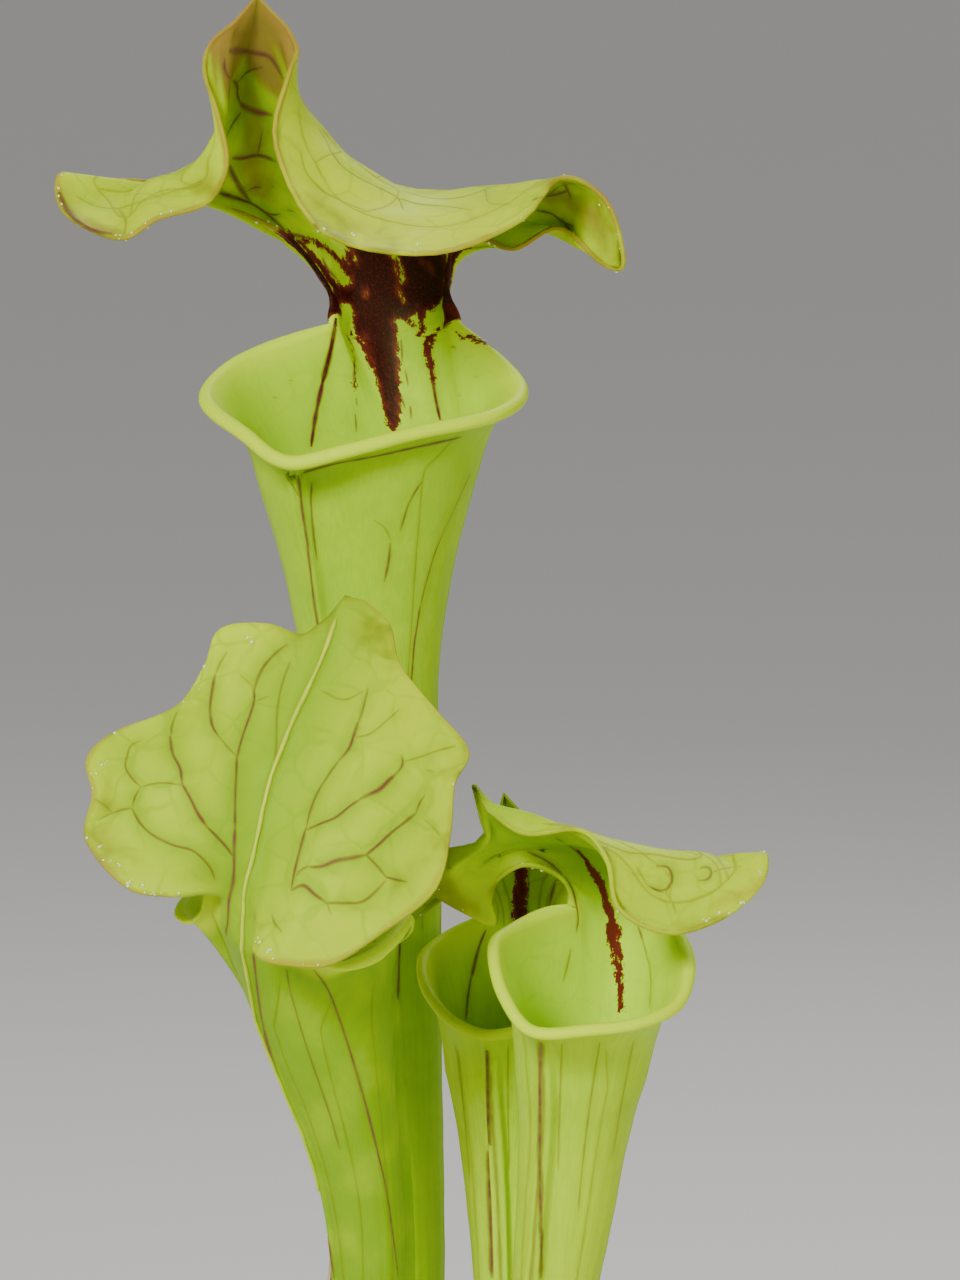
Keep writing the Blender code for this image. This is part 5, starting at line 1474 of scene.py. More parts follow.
for share, tone in (
    (net, GREEN_DEEP),
    (skin.times(skin.ramp(edge, 5.5, 0.2), skin.ramp(way, 1.12, 1.0), 0.85), bright),
    (rim, TAN_EDGE),
    (blotch, OLIVE),
    (tanned, skin.mixed(skin.ramp(edge, 5.0, 0.5), TAN_BROWN, TAN_EDGE)),
    (skin.ramp(skin.shaken(way, fibre, 0.12), 0.16, 0.02, 0.0, 0.85), FOOT_RED),
):
    colour = skin.mixed(share, colour, tone)
print("net, bead and tans bring it to", len(skin.tree.nodes), "nodes")

# %% [markdown]
# ### Veins, stains and the feel of the skin
# A ribbon's colour runs from olive brown to maroon, dark maroon for drips and pale for a keel. A stain's
# smooth number is torn by a noise that is drawn out along the leaf, red at its thin edges and almost black in
# its depth. Fibres, net and stains also lift or sink the skin a little, which the material turns into a bump.

# %% Veins, stains, roughness and height
VEIN_OLIVE = (0.150, 0.055, 0.026)
VEIN_MAROON = (0.200, 0.018, 0.045)
DRIP_MAROON = (0.085, 0.005, 0.012)
KEEL_PALE = (0.700, 0.740, 0.060)
STAIN_MAROON = (0.024, 0.0020, 0.0028)
STAIN_RED = (0.150, 0.018, 0.012)
vein_colour = skin.mixed(tint, VEIN_OLIVE, VEIN_MAROON)
vein_colour = skin.mixed(skin.ramp(tint, 1.1, 1.9), vein_colour, DRIP_MAROON)
vein_colour = skin.mixed(skin.ramp(tint, -0.1, -0.9), vein_colour, KEEL_PALE)
colour = skin.mixed(skin.times(vein, skin.ramp(fine, 0.3, 0.6, 0.82, 1.0)), colour, vein_colour)

torn_along = skin.stretched(flat, 1.0, 1.0, 0.6)
torn_fine = skin.noise(torn_along, 2.6, 4.0, 0.7)
torn = skin.plus(skin.times(skin.noise(torn_along, 0.8, 3.0, 0.6), 0.9), skin.times(torn_fine, 0.7))
level = skin.plus(stain, skin.minus(torn, 0.8))
held = skin.times(skin.ramp(level, 0.42, 0.5), skin.ramp(stain, 0.05, 0.22))
streaks = skin.ramp(torn_fine, 0.66, 0.5, 0.45, 1.0)
depth = skin.times(skin.ramp(level, 0.46, 0.9), streaks, given["Stain depth"])
colour = skin.mixed(held, colour, skin.mixed(depth, STAIN_RED, STAIN_MAROON))

rough = skin.minus(skin.ramp(mottle, 0.3, 0.7, 0.46, 0.6), skin.times(held, 0.06))
height = skin.plus(skin.times(fine, 0.35), skin.times(fibre_fine, skin.ramp(way, 1.1, 0.9, 0.15, 1.0)))
height = skin.plus(skin.minus(height, skin.times(net, 0.8)), skin.times(held, -0.35))
for name, value in (("Colour", colour), ("Roughness", rough), ("Height", height)):
    skin.feed(result[name], value)
print("leaf skin is made of", len(skin.tree.nodes), "nodes")

# %% [markdown]
# ### A leaf's material
# The group gives colour, roughness and height. What is the same all over is set on the shader itself: light
# that goes in and comes out yellower close by, and a faint greenish gleam.

# %% The leaf materials
SKIN_BUMP, SKIN_BUMP_HEIGHT = 0.35, 0.00018
LEAF_SURFACE = {
    "Subsurface Weight": 0.32, "Subsurface Radius": (0.9, 1.0, 0.25), "Subsurface Scale": 0.0016,
    "Coat Weight": 0.0, "Coat Roughness": 0.3,
    "Specular IOR Level": 0.12, "Specular Tint": (0.85, 1.0, 0.4, 1.0),
}
SKIN_VALUES = ("Tube green", "Lid green", "Net strength", "Margin strength", "Stain depth", "Inside pale and painted light")
# The tube and lid greens of each leaf are set lighter or darker to paint the light it gets: darker greens
# paint the shade on the left leaf, lighter ones paint light on the tall lid and the right and rear tubes.
# Inside pale is partly painted light, 0 for the rear leaf whose mouth lies in shade.
LEAF_VALUES = {
    "tall": (GREEN_TUBE, (0.53, 0.65, 0.0), 0.26, 0.85, 1.0, 0.4),
    "left": ((0.20, 0.37, 0.0), (0.48, 0.63, 0.0), 0.34, 0.60, 1.0, 0.5),
    "right": ((0.44, 0.66, 0.0), GREEN_LID, 0.20, 0.35, 0.15, 0.7),
    "rear": ((0.52, 0.78, 0.0), GREEN_LID, 0.18, 0.30, 0.8, 0.0),
}


def make_leaf_material(name, values):
    """The leaf's material: its skin group, and a little light passing through."""
    made, wires, shader = new_material(name)
    placed = wires.node("ShaderNodeGroup", dict(zip(SKIN_VALUES, values)), node_tree=skin.tree).outputs
    wires.dress(shader, placed["Colour"], placed["Roughness"], placed["Height"], SKIN_BUMP, SKIN_BUMP_HEIGHT)
    for title, value in LEAF_SURFACE.items():
        shader.inputs[title].default_value = value
    return made


leaf_materials = {key: make_leaf_material(f"{key} leaf skin", values) for key, values in LEAF_VALUES.items()}
print("leaf materials:", ", ".join(leaf_materials))

# %% [markdown]
# ## Growing the leaves
# Each leaf gets its blade first. Then the stains and the dry tans are painted on, the large ones where they
# were read and a few where the eye can't look.

# %% Blades and their stains
SEEDS = {"tall": 11, "left": 12, "right": 13, "rear": 14}
LID, LID_AND_NECK, STAINED = (1.1, 2.01), (1.03, 2.0), (0.6, 2.0)
blades = {key: leaf_blade(plan, SEEDS[key]) for key, plan in PLANS.items()}
tall = blades["tall"]
paint(tall, "stain", TALL_STAINS, STAIN_SOFT, TALL_GAPS)
paint(tall, "tan", TALL_TAN, TAN_SOFT, zones=(1.3, 2.01))
paint(tall, "tan", TALL_TAN_LOW, TAN_SOFT, zones=LID, strength=0.44)
paint(blades["right"], "tan", RIGHT_TAN, TAN_SOFT, zones=LID, inner=False, strength=0.5)
for side in (True, False):
    paint(tall, "tan", TALL_WING_TAN, TAN_SOFT, zones=LID, inner=side, strength=0.8)
paint(tall, "tan", TALL_LOBE_TAN, TAN_SOFT, zones=LID, strength=0.6)
paint(blades["right"], "stain", RIGHT_STAINS, STAIN_SOFT)
paint(blades["rear"], "stain", REAR_STAINS, STAIN_SOFT)
for key, strokes in HIDDEN_STAINS.items():
    paint_flat(blades[key], strokes, True, LID_AND_NECK if key == "tall" else STAINED)
paint_flat(tall, NECK_STAINS, False, LID_AND_NECK)
for key, blade in blades.items():
    print(key, len(blade["points"]), "points,", int((blade["stain"] > 0.5).sum()), "of them stained")

# %% [markdown]
# ### Laying on the veins
# First the veins that were read, then the nets and the fine tube veins, last the pale keel behind each lid.
# The order matters, because each vein takes its wavering from the same row of random numbers.

# %% The veins of all leaves
READ_VEINS = {"tall": TALL_VEINS, "left": LEFT_VEINS, "right": RIGHT_VEINS, "rear": REAR_VEINS}
NET_STRENGTH = 0.3
TUBE_SHARES = {
    "tall": (0.1, 0.24, 0.7, 0.82, 0.92), "left": (0.1, 0.24, 0.4, 0.6, 0.76, 0.9),
    "right": (0.12, 0.3, 0.62, 0.84), "rear": (0.14, 0.32, 0.66, 0.86),
}
BACK_SHARES = (0.12, 0.88)
TUBE_STRENGTH, FAINT_STRENGTH = 0.26, 0.12
SEAM = FRONT_STEPS // 2
SEAM_STOPS = [(HOOD_START - 6, SEAM), (60, SEAM), (30, SEAM)]
# the keel's first row, from the shoulders, and how far it stands out
KEELS = {"left": (-22, 6.0), "tall": (3, 3.0), "right": (3, 3.0), "rear": (3, 3.0)}
vein_draw = np.random.default_rng(5)
for key, traces in READ_VEINS.items():
    sight_veins(blades[key], traces, vein_draw)
for key, skins in (("tall", OUTER), ("right", OUTER), ("rear", BOTH)):
    lid_net(blades[key], vein_draw, NET_STRENGTH, skins)
for key, shares in TUBE_SHARES.items():
    young = key in ("right", "rear")
    tube_veins(blades[key], vein_draw, FAINT_STRENGTH if young else TUBE_STRENGTH, shares)
    tube_veins(blades[key], vein_draw, TUBE_STRENGTH, BACK_SHARES, strip="back")
    if young:
        grid_veins(blades[key], "front", SEAM_STOPS, 0.9, 0.5, 0.6, vein_draw)
for key, (start, lift) in KEELS.items():
    rows = (HOOD_START + start, HOOD_START + 12, HOOD_START + HOOD_ROWS * 0.97)
    grid_veins(blades[key], "back", [(row, MIDDLE) for row in rows], 1.1, 0.7, -1.0, vein_draw, lift=lift)
for blade in blades.values():
    add_halo(blade)
print("veins:", {key: len(blade["ribbons"]) for key, blade in blades.items()})

# %% [markdown]
# ### Handing the leaves to Blender
# A mesh is made straight from the arrays. What the points keep goes into named attributes, which the skin
# group reads, so the colours stay with the leaf wherever it is placed.

# %% The leaf objects
def add_piece(name, points, faces, material, smooth_shading=True):
    """A mesh object from points in millimetres."""
    mesh = bpy.data.meshes.new(name)
    faces = np.asarray(faces)
    mesh.vertices.add(len(points))
    mesh.vertices.foreach_set("co", (np.asarray(points, float) * MM).ravel())
    mesh.loops.add(faces.size)
    mesh.loops.foreach_set("vertex_index", faces.ravel().astype(np.int32))
    mesh.polygons.add(len(faces))
    mesh.polygons.foreach_set("loop_start", np.arange(0, faces.size, faces.shape[1], dtype=np.int32))
    mesh.update(calc_edges=True)
    mesh.validate()
    mesh.materials.append(material)
    if smooth_shading:
        mesh.shade_smooth()
    made = bpy.data.objects.new(name, mesh)
    bpy.context.scene.collection.objects.link(made)
    return made


def joined(parts):
    """One set of points and faces from several."""
    starts = np.cumsum([0] + [len(points) for points, _ in parts])
    faces = [own + start for (_, own), start in zip(parts, starts)]
    return np.concatenate([points for points, _ in parts]), np.concatenate(faces)


def keep_values(mesh, name, values):
    """Keeps a number, or a row of three, for each point of a mesh."""
    kind, field = ("FLOAT_VECTOR", "vector") if values.ndim == 2 else ("FLOAT", "value")
    mesh.attributes.new(name, kind, "POINT").data.foreach_set(field, values.astype(np.float32).ravel())


def leaf_object(name, blade, material):
    """One object from a blade and all its vein ribbons, with the numbers that the skin group reads."""
    parts = [blade] + blade["ribbons"]
    made = add_piece(name, *joined([(part["points"], part["faces"]) for part in parts]), material)

    def whole(*keys):
        held = [np.concatenate([part[key] for part in parts]) for key in keys]
        return held[0] if len(keys) == 1 else np.stack(held, 1)

    keep_values(made.data, "leaf_flat", whole("flat"))
    keep_values(made.data, "leaf_zone", whole("edge", "inner", "zone"))
    keep_values(made.data, "leaf_mark", whole("stain", "tan", "vein"))
    keep_values(made.data, "leaf_tint", whole("tint"))
    keep_values(made.data, "leaf_halo", whole("halo"))
    return made


leaves = {}
for key, blade in blades.items():
    leaves[key] = leaf_object(f"{key}_leaf", blade, leaf_materials[key])
    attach(leaves[key], "root")
    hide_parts(f"pitcher_{key}")
    print(key, len(leaves[key].data.polygons), "faces")

# %% [markdown]
# ## Nectar
# Glands along the margins of lid and lip give off a sweet sap. It stands there in small clear drops, some of
# which catch the light. A drop is a ball pressed flat against the skin.

# %% Drops of nectar
DROP_SIZES = (0.14, 0.38)
DROP_FLATNESS, DROP_RISE = 0.72, 0.35
# where drops stand: along the leaf, and from its edge (mm)
DROP_ZONE, DROP_EDGE = (1.2, 1.72), (-0.6, 2.6)
# drops round each place where some were seen, and how far round it (pixels)
DROPS_TOGETHER, DROP_SPREAD = 3, (3.0, 2.0)
DROP_COUNTS = {"tall": 46, "left": 40, "right": 30, "rear": 18}
SEEN_DROPS = {
    "tall": [(120, 236), (320, 232), (420, 246), (352, 234)],
    "left": [(101, 846), (108, 861), (118, 864), (131, 884), (150, 893), (160, 894), (104, 763), (252, 642),
             (271, 951), (96, 774)],
    "right": [(706, 918), (742, 902), (760, 872), (722, 914)],
    "rear": [],
}


def ball(subdivisions):
    """Points and faces of a ball of radius 1."""
    made = bmesh.new()
    bmesh.ops.create_icosphere(made, subdivisions=subdivisions, radius=1.0)
    points = np.array([v.co[:] for v in made.verts])
    faces = np.array([[v.index for v in f.verts] for f in made.faces])
    made.free()
    return points, faces


def margin_drops(blade, count, draw, pixels):
    """Drops near the margin of a lid, and some where they were seen."""
    zone, margin = blade["zone"], blade["edge"]
    near = (zone > DROP_ZONE[0]) & (zone < DROP_ZONE[1]) & (margin > DROP_EDGE[0]) & (margin < DROP_EDGE[1])
    chosen = draw.choice(np.nonzero(near)[0], count, replace=False)
    hits = [blade["tree"].find_nearest(Vector(blade["points"][i]))[:3] for i in chosen]
    for pixel in pixels:
        for _ in range(DROPS_TOGETHER):
            hit = look_at(blade, [place + draw.normal(0, far) for place, far in zip(pixel, DROP_SPREAD)])
            if hit[0] is not None:
                hits.append(hit)
    sizes = DROP_SIZES[0] + (DROP_SIZES[1] - DROP_SIZES[0]) * draw.random(len(hits)) ** 2
    shape, faces = ball(2)
    drops = []
    for (place, normal, _), size in zip(hits, sizes):
        turn = np.array(normal.to_track_quat("Z", "Y").to_matrix())
        local = shape * [size, size, size * DROP_FLATNESS] + [0.0, 0.0, size * DROP_RISE]
        drops.append((np.array(place) + local @ turn.T, faces))
    return joined(drops)


def make_nectar_material():
    made, wires, shader = new_material("nectar")
    tone = wires.mixed(wires.noise(None, 900.0, 1.0), (0.60, 0.68, 0.22), (0.80, 0.85, 0.50))
    wires.feed(shader.inputs["Base Color"], tone)
    for name, value in {"Roughness": 0.06, "Specular IOR Level": 0.7, "Coat Weight": 0.6,
                        "Coat Roughness": 0.03}.items():
        shader.inputs[name].default_value = value
    return made


drop_draw = np.random.default_rng(21)
nectar = make_nectar_material()
for key, blade in blades.items():
    drops = margin_drops(blade, DROP_COUNTS[key], drop_draw, SEEN_DROPS[key])
    drops = add_piece(f"{key}_nectar", *drops, nectar)
    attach(drops, "root")
    print(key, "nectar:", len(drops.data.polygons), "faces")

# %% [markdown]
# ## The pot
# A plain nursery pot is blown or moulded in one wall, a little wider above, with a folded rim to lift it by
# and holes in its foot to drain. It is turned here from its section, as on a lathe, because every point of
# the section can then be a named size. Stacked primitives would leave seams where the wall meets the rim.

# %% Turning a section
POT_HEIGHT = 115.0
POT_TOP_RADIUS = 65.0
POT_FOOT_RADIUS = 47.0
POT_WALL = 2.2
POT_FLOOR = 3.0
FOOT_STEP = 3.2
FLOOR_CORNER = 12.0
RIM_HEIGHT = 14.0
RIM_PROUD = 2.5
RIM_ROUND = 1.0
RIM_DROP = 0.6
GROOVES = (12.0, 15.0)
GROOVE_DEPTH = 0.5
CORNER_ROUND = 1.4
CORNER_STEPS = 4
POT_STEPS = 144


def rounded(section, radius, steps):
    """Rounds the inner corners of a section."""
    section = [np.array(p, float) for p in section]
    made = [section[0]]
    for before, corner, after in zip(section, section[1:], section[2:]):
        reach = min(radius, np.linalg.norm(corner - before) * 0.45, np.linalg.norm(after - corner) * 0.45)
        start = corner + unit(before - corner) * reach
        end = corner + unit(after - corner) * reach
        for k in range(steps + 1):
            u = k / steps
            made.append(start * (1 - u) ** 2 + corner * 2 * u * (1 - u) + end * u**2)
    return made + [section[-1]]


def ringed(rings, ends):
    """Points and triangles of a row of rings, closed by a fan at both ends."""
    points = np.concatenate([rings.reshape(-1, 3), ends])
    at = np.arange(len(points) - 2).reshape(rings.shape[:2])
    low, high = at[:-1], at[1:]
    faces = [split_quads(points, low, np.roll(low, -1, 1), np.roll(high, -1, 1), high)]
    faces.append(np.stack([np.full(len(at[0]), len(points) - 2), np.roll(at[0], -1), at[0]], 1))
    faces.append(np.stack([np.full(len(at[0]), len(points) - 1), at[-1], np.roll(at[-1], -1)], 1))
    return points, np.concatenate(faces)


def turned_mesh(section, steps):
    """Points and triangles of a section turned about the upright axis."""
    angle = 2 * np.pi * np.arange(steps) / steps
    section = np.array(section)
    out, up = section[:, :1], np.repeat(section[:, 1:], steps, 1)
    rings = np.stack([out * np.cos(angle), out * np.sin(angle), up], axis=2)
    return ringed(rings, [[0, 0, section[0, 1]], [0, 0, section[-1, 1]]])


def pot_section():
    """The wall from the middle of the foot, up the outside, over the rim and down the inside."""
    slope = (POT_TOP_RADIUS - POT_FOOT_RADIUS) / POT_HEIGHT
    rim_low = POT_HEIGHT - RIM_HEIGHT
    outside = POT_FOOT_RADIUS + slope * rim_low
    section = [(POT_FOOT_RADIUS - FOOT_STEP, 0.0), (POT_FOOT_RADIUS - RIM_ROUND, 0.0)]
    section.append((POT_FOOT_RADIUS, RIM_ROUND))
    for level in GROOVES:
        radius = POT_FOOT_RADIUS + slope * level
        section += [(radius, level - 1.0), (radius - GROOVE_DEPTH, level), (radius, level + 1.0)]
    return rounded(section + [
        (outside, rim_low),
        (outside + RIM_PROUD, rim_low + RIM_ROUND),
        (outside + RIM_PROUD + 0.1, POT_HEIGHT - 5.0),
        (POT_TOP_RADIUS + RIM_PROUD, POT_HEIGHT - RIM_ROUND),
        (POT_TOP_RADIUS + RIM_PROUD - RIM_ROUND, POT_HEIGHT),
        (POT_TOP_RADIUS - POT_WALL, POT_HEIGHT - RIM_DROP),
        (POT_FOOT_RADIUS - POT_WALL, POT_FLOOR),
        (POT_FOOT_RADIUS - FLOOR_CORNER, POT_FLOOR),
    ], CORNER_ROUND, CORNER_STEPS)


print("the pot's section has", len(pot_section()), "points")

# %% [markdown]
# ### Moulded plastic
# Dark plastic shows its age in its sheen more than in its colour: faint turned lines, dust that gathers low
# down, and the pale marks of water that dried on its way down the wall.

# %% The pot and its holes
PLASTIC_DARK, PLASTIC_LIGHT = (0.016, 0.019, 0.017), (0.026, 0.030, 0.027)
DUST, WATER_MARK = (0.14, 0.12, 0.09), (0.30, 0.29, 0.25)
DRAIN_RADIUS = 4.0
DRAIN_RING = 34.0
DRAIN_COUNT = 6
DRAIN_START = math.radians(26.3)
DRAIN_STEPS = 32
DRAIN_PAST = 3.0
SHARP_FROM = math.radians(35)


def make_pot_material():
    made, wires, shader = new_material("nursery pot plastic")
    lines = wires.noise(wires.stretched(wires.place, 1.0, 1.0, 26.0), 30.0, 3.0)
    grain = wires.noise(wires.place, 900.0)
    cloud = wires.noise(wires.place, 22.0, 5.0, 0.65)
    runs = wires.noise(wires.stretched(wires.place, 1.0, 1.0, 0.14), 110.0, 3.0)
    low = wires.ramp(wires.split(wires.place)["Z"], 0.03, 0.0)
    dust = wires.times(wires.ramp(cloud, 0.46, 0.72), wires.plus(low, 0.42, clamp=True))
    marks = wires.times(wires.ramp(runs, 0.6, 0.7), wires.ramp(cloud, 0.4, 0.6))
    colour = wires.mixed(wires.ramp(lines, 0.35, 0.65), PLASTIC_DARK, PLASTIC_LIGHT)
    colour = wires.mixed(wires.times(dust, 0.4), colour, DUST)
    colour = wires.mixed(wires.times(marks, 0.10), colour, WATER_MARK)
    rough = wires.plus(wires.ramp(lines, 0.3, 0.7, 0.36, 0.46), wires.times(dust, 0.3))
    height = wires.plus(wires.times(lines, 0.7), wires.times(grain, 0.4))
    wires.dress(shader, colour, rough, height, 0.3, 0.0002)
    return made


def make_pot():
    """The turned pot with its drain holes cut by a Boolean, and its shading kept crisp at the edges."""
    pot = add_piece("nursery_pot", *turned_mesh(pot_section(), POT_STEPS), make_pot_material())
    cutters = []
    for k in range(DRAIN_COUNT):
        angle = DRAIN_START + 2 * math.pi * k / DRAIN_COUNT
        through_floor = [(DRAIN_RADIUS, -DRAIN_PAST), (DRAIN_RADIUS, POT_FLOOR + DRAIN_PAST)]
        hole, faces = turned_mesh(through_floor, DRAIN_STEPS)
        hole = hole + [DRAIN_RING * math.cos(angle), DRAIN_RING * math.sin(angle), 0.0]
        cutters.append(add_piece(f"drain_{k}", hole, faces, pot.data.materials[0]))
        bite = pot.modifiers.new(f"drain_{k}", "BOOLEAN")
        bite.operation, bite.solver, bite.object = "DIFFERENCE", "EXACT", cutters[-1]
    kept = bpy.data.meshes.new_from_object(pot.evaluated_get(bpy.context.evaluated_depsgraph_get()))
    pot.modifiers.clear()
    pot.data = kept
    for cutter in cutters:
        bpy.data.objects.remove(cutter, do_unlink=True)
    pot.data.shade_smooth()
    pot.data.set_sharp_from_angle(angle=SHARP_FROM)
    return pot


pot = make_pot()
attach(pot, "root")
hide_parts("pot")
print("pot:", len(pot.data.polygons), "faces")

# %% [markdown]
# ## Mottled, dull things
# Peat, perlite, the stem and a dead leaf have different colours, but one way of wearing them: two tones that
# drift into each other, with flecks of a third. That is one node group, placed in four materials.

# %% The mottle group
mottle_in, given, result = group_with(
    "mottle",
    {"Tone noise": 0.5, "Tone from": 0.35, "Tone to": 0.65, "Dark": (0.0, 0.0, 0.0), "Light": (1.0, 1.0, 1.0),
     "Fleck noise": 0.5, "Fleck from": 0.5, "Fleck to": 0.75, "Fleck share": 0.0, "Fleck": (0.0, 0.0, 0.0)},
    {"Colour": COLOUR},
)
ground = mottle_in.mixed(mottle_in.ramp(given["Tone noise"], given["Tone from"], given["Tone to"]),
                         given["Dark"], given["Light"])
flecks = mottle_in.ramp(given["Fleck noise"], given["Fleck from"], given["Fleck to"])
flecks = mottle_in.times(flecks, given["Fleck share"])
mottle_in.feed(result["Colour"], mottle_in.mixed(flecks, ground, given["Fleck"]))


def mottled(wires, **values):
    """The mottle group placed in a material. Names are the group's inputs, with _ for a space."""
    inputs = {name.replace("_", " "): value for name, value in values.items()}
    return wires.node("ShaderNodeGroup", inputs, node_tree=mottle_in.tree).outputs["Colour"]


print("mottle is made of", len(mottle_in.tree.nodes), "nodes")

# %% [markdown]
# ## The growing medium
# Pitcher plants grow in wet, poor peat with perlite or sand. Its surface is a low uneven mound of crumbs and
# fibres, with white grains of perlite among them. The mound is turned like the pot, and a noise lifts its
# top.

# %% Peat
GAP = 0.3
SOIL_TOP = 104.0
SOIL_MOUND = 3.5
LUMP_HEIGHT, LUMP_SCALE = 0.8, 0.11
GRIT_HEIGHT, GRIT_SCALE = 0.35, 0.55
PEAT_RINGS = 60
PEAT_STEPS = 180
PEAT_DARK, PEAT_LIGHT, PEAT_FLECK = (0.018, 0.010, 0.006), (0.062, 0.036, 0.020), (0.12, 0.075, 0.04)


def soil_radius(height):
    slope = (POT_TOP_RADIUS - POT_FOOT_RADIUS) / (POT_HEIGHT - RIM_DROP - POT_FLOOR)
    return POT_FOOT_RADIUS - POT_WALL - 2 * GAP + slope * (height - POT_FLOOR)


def soil_level(x, y):
    """The height of the medium's lumpy surface."""
    share = min(1.0, math.hypot(x, y) / soil_radius(SOIL_TOP))
    lumps = noise.fractal(Vector((x * LUMP_SCALE, y * LUMP_SCALE, 3.0)), 0.8, 2.1, 4)
    grit = noise.noise(Vector((x * GRIT_SCALE, y * GRIT_SCALE, 8.0)))
    off_wall = 1.0 - float(ease(0.93, 1.0, share))
    mound = SOIL_MOUND * math.cos(share * math.pi / 2)
    lift = mound + LUMP_HEIGHT * (lumps - 0.3) + GRIT_HEIGHT * grit - 0.6
    return SOIL_TOP + lift * (0.15 + 0.85 * off_wall) - 0.4


def make_peat_mesh():
    top = soil_radius(SOIL_TOP) + 0.25
    section = [(soil_radius(POT_FLOOR), POT_FLOOR + GAP), (top, SOIL_TOP - 1.2)]
    section += [(top * k / PEAT_RINGS, SOIL_TOP) for k in range(PEAT_RINGS, 0, -1)]
    points, faces = turned_mesh(section, PEAT_STEPS)
    for i in np.nonzero(points[:, 2] > SOIL_TOP - 0.5)[0]:
        points[i, 2] = soil_level(points[i, 0], points[i, 1])
    return points, faces


def make_peat_material():
    made, wires, shader = new_material("damp peat")
    broad, fine = wires.noise(wires.place, 60.0, 5.0), wires.noise(wires.place, 700.0, 5.0, 0.7)
    colour = mottled(wires, Tone_noise=broad, Dark=PEAT_DARK, Light=PEAT_LIGHT,
                     Fleck_noise=fine, Fleck_share=0.6, Fleck=PEAT_FLECK)
    wires.dress(shader, colour, wires.ramp(broad, 0.3, 0.7, 0.7, 0.95), fine, 0.9, 0.0009)
    return made


peat_material = make_peat_material()
peat = add_piece("peat_bed", *make_peat_mesh(), peat_material)
print("the peat stands", round(soil_level(0.0, 0.0), 1), "mm high in the middle")

# %% [markdown]
# ### Crumbs, fibres and perlite
# Loose grains are scattered as real pieces, so that they catch light and throw shadow. A few odd shapes are
# made first and each grain is a turned and sized copy of one, which is enough for the eye to see no repeats.

# %% Loose grains
# for each sort: odd shapes (kinds, subdivisions, roughness), count, sizes (mm), rise (sizes), stretch
STREWN = {
    "peat_crumbs": ((9, 1, 0.28), 1500, (0.35, 1.5), 0.1, 1.0),
    "peat_fibres": ((4, 1, 0.1), 160, (0.2, 0.42), 0.6, 9.0),
    "perlite_grains": ((7, 2, 0.13), 230, (0.5, 1.7), 0.25, 1.0),
}
WALL_CLEAR = 1.6
PERLITE_WHITE, PERLITE_STAINED = (0.72, 0.70, 0.64), (0.38, 0.30, 0.20)
# where the leaves stand: across, away and how far grains keep off
LEAF_FEET = [
    (-8.0, 20.0, 5.6), (-16.0, -13.0, 5.2), (15.0, -14.0, 5.4), (11.0, 14.0, 5.2), (-28.0, 13.0, 3.2),
]


def chunk_shapes(draw, kinds, subdivisions, roughness):
    """A few irregular grains to copy from."""
    shapes = []
    for _ in range(kinds):
        shape, faces = ball(subdivisions)
        shape = shape * (1.0 + draw.uniform(-roughness, roughness, (len(shape), 1)))
        shapes.append((shape * draw.uniform(0.7, 1.15, 3), faces))
    return shapes


def scatter(draw, shapes, count, sizes, rise, stretch):
    """Grains strewn over the medium, clear of the leaves' feet."""
    strewn = []
    while len(strewn) < count:
        radius = (soil_radius(SOIL_TOP) - WALL_CLEAR) * math.sqrt(draw.random())
        angle = draw.uniform(0, 2 * math.pi)
        x, y = radius * math.cos(angle), radius * math.sin(angle)
        size = sizes[0] + (sizes[1] - sizes[0]) * draw.random() ** 2
        if any(math.hypot(x - fx, y - fy) < reach + size for fx, fy, reach in LEAF_FEET):
            continue
        shape, faces = shapes[draw.integers(len(shapes))]
        spin = np.array(Vector(draw.normal(size=3)).normalized().to_track_quat("Z", "Y").to_matrix())
        grain = (shape * [size * stretch, size, size]) @ spin.T + [x, y, soil_level(x, y) + size * rise]
        strewn.append((grain, faces))
    return joined(strewn)


def make_perlite_material():
    made, wires, shader = new_material("perlite")
    pits = wires.node("ShaderNodeTexVoronoi", {"Vector": wires.place, "Scale": 1900.0}).outputs["Distance"]
    soak = wires.noise(wires.place, 240.0, 3.0)
    colour = mottled(wires, Tone_noise=soak, Tone_from=0.45, Tone_to=0.7,
                     Dark=PERLITE_WHITE, Light=PERLITE_STAINED)
    wires.dress(shader, colour, wires.ramp(soak, 0.3, 0.7, 0.85, 0.95), pits, 0.7, 0.0005)
    return made


soil_draw = np.random.default_rng(31)
medium = [peat]
for name, (kinds, *how) in STREWN.items():
    grains = scatter(soil_draw, chunk_shapes(soil_draw, *kinds), *how)
    material = make_perlite_material() if name == "perlite_grains" else peat_material
    medium.append(add_piece(name, *grains, material, smooth_shading=name != "peat_crumbs"))
for piece in medium:
    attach(piece, "root")
    print(piece.name, len(piece.data.polygons), "faces")
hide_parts("growing_medium")

# %% [markdown]
# ## The rhizome
# The leaves grow from a creeping stem that lies half buried. Old leaf bases wrap it in dry scales, so it is
# ringed and knobbly, and thin roots leave it at the sides and dive into the peat. It is a long ball whose
# radius changes with rings and a noise; a sculpt would look as good but couldn't be measured.

# %% Rhizome
RHIZOME_CENTRE = np.array([-2.0, 0.5, 104.0])
RHIZOME_HALF = (26.0, 6.6)
RHIZOME_ROWS = 90
RHIZOME_STEPS = 72
RHIZOME_SHRINK = 0.7
SCALE_RISE = 0.35
KNOB_RISE = 0.45
ROOT_COUNT = 26
ROOT_POINTS = 14
ROOT_SIDES = 8
ROOT_RADII = (0.42, 0.2)
ROOT_CLEAR = 0.7
SCALES_DARK, SCALES_LIGHT, SCALES_FLECK = (0.055, 0.022, 0.010), (0.21, 0.115, 0.05), (0.32, 0.22, 0.12)


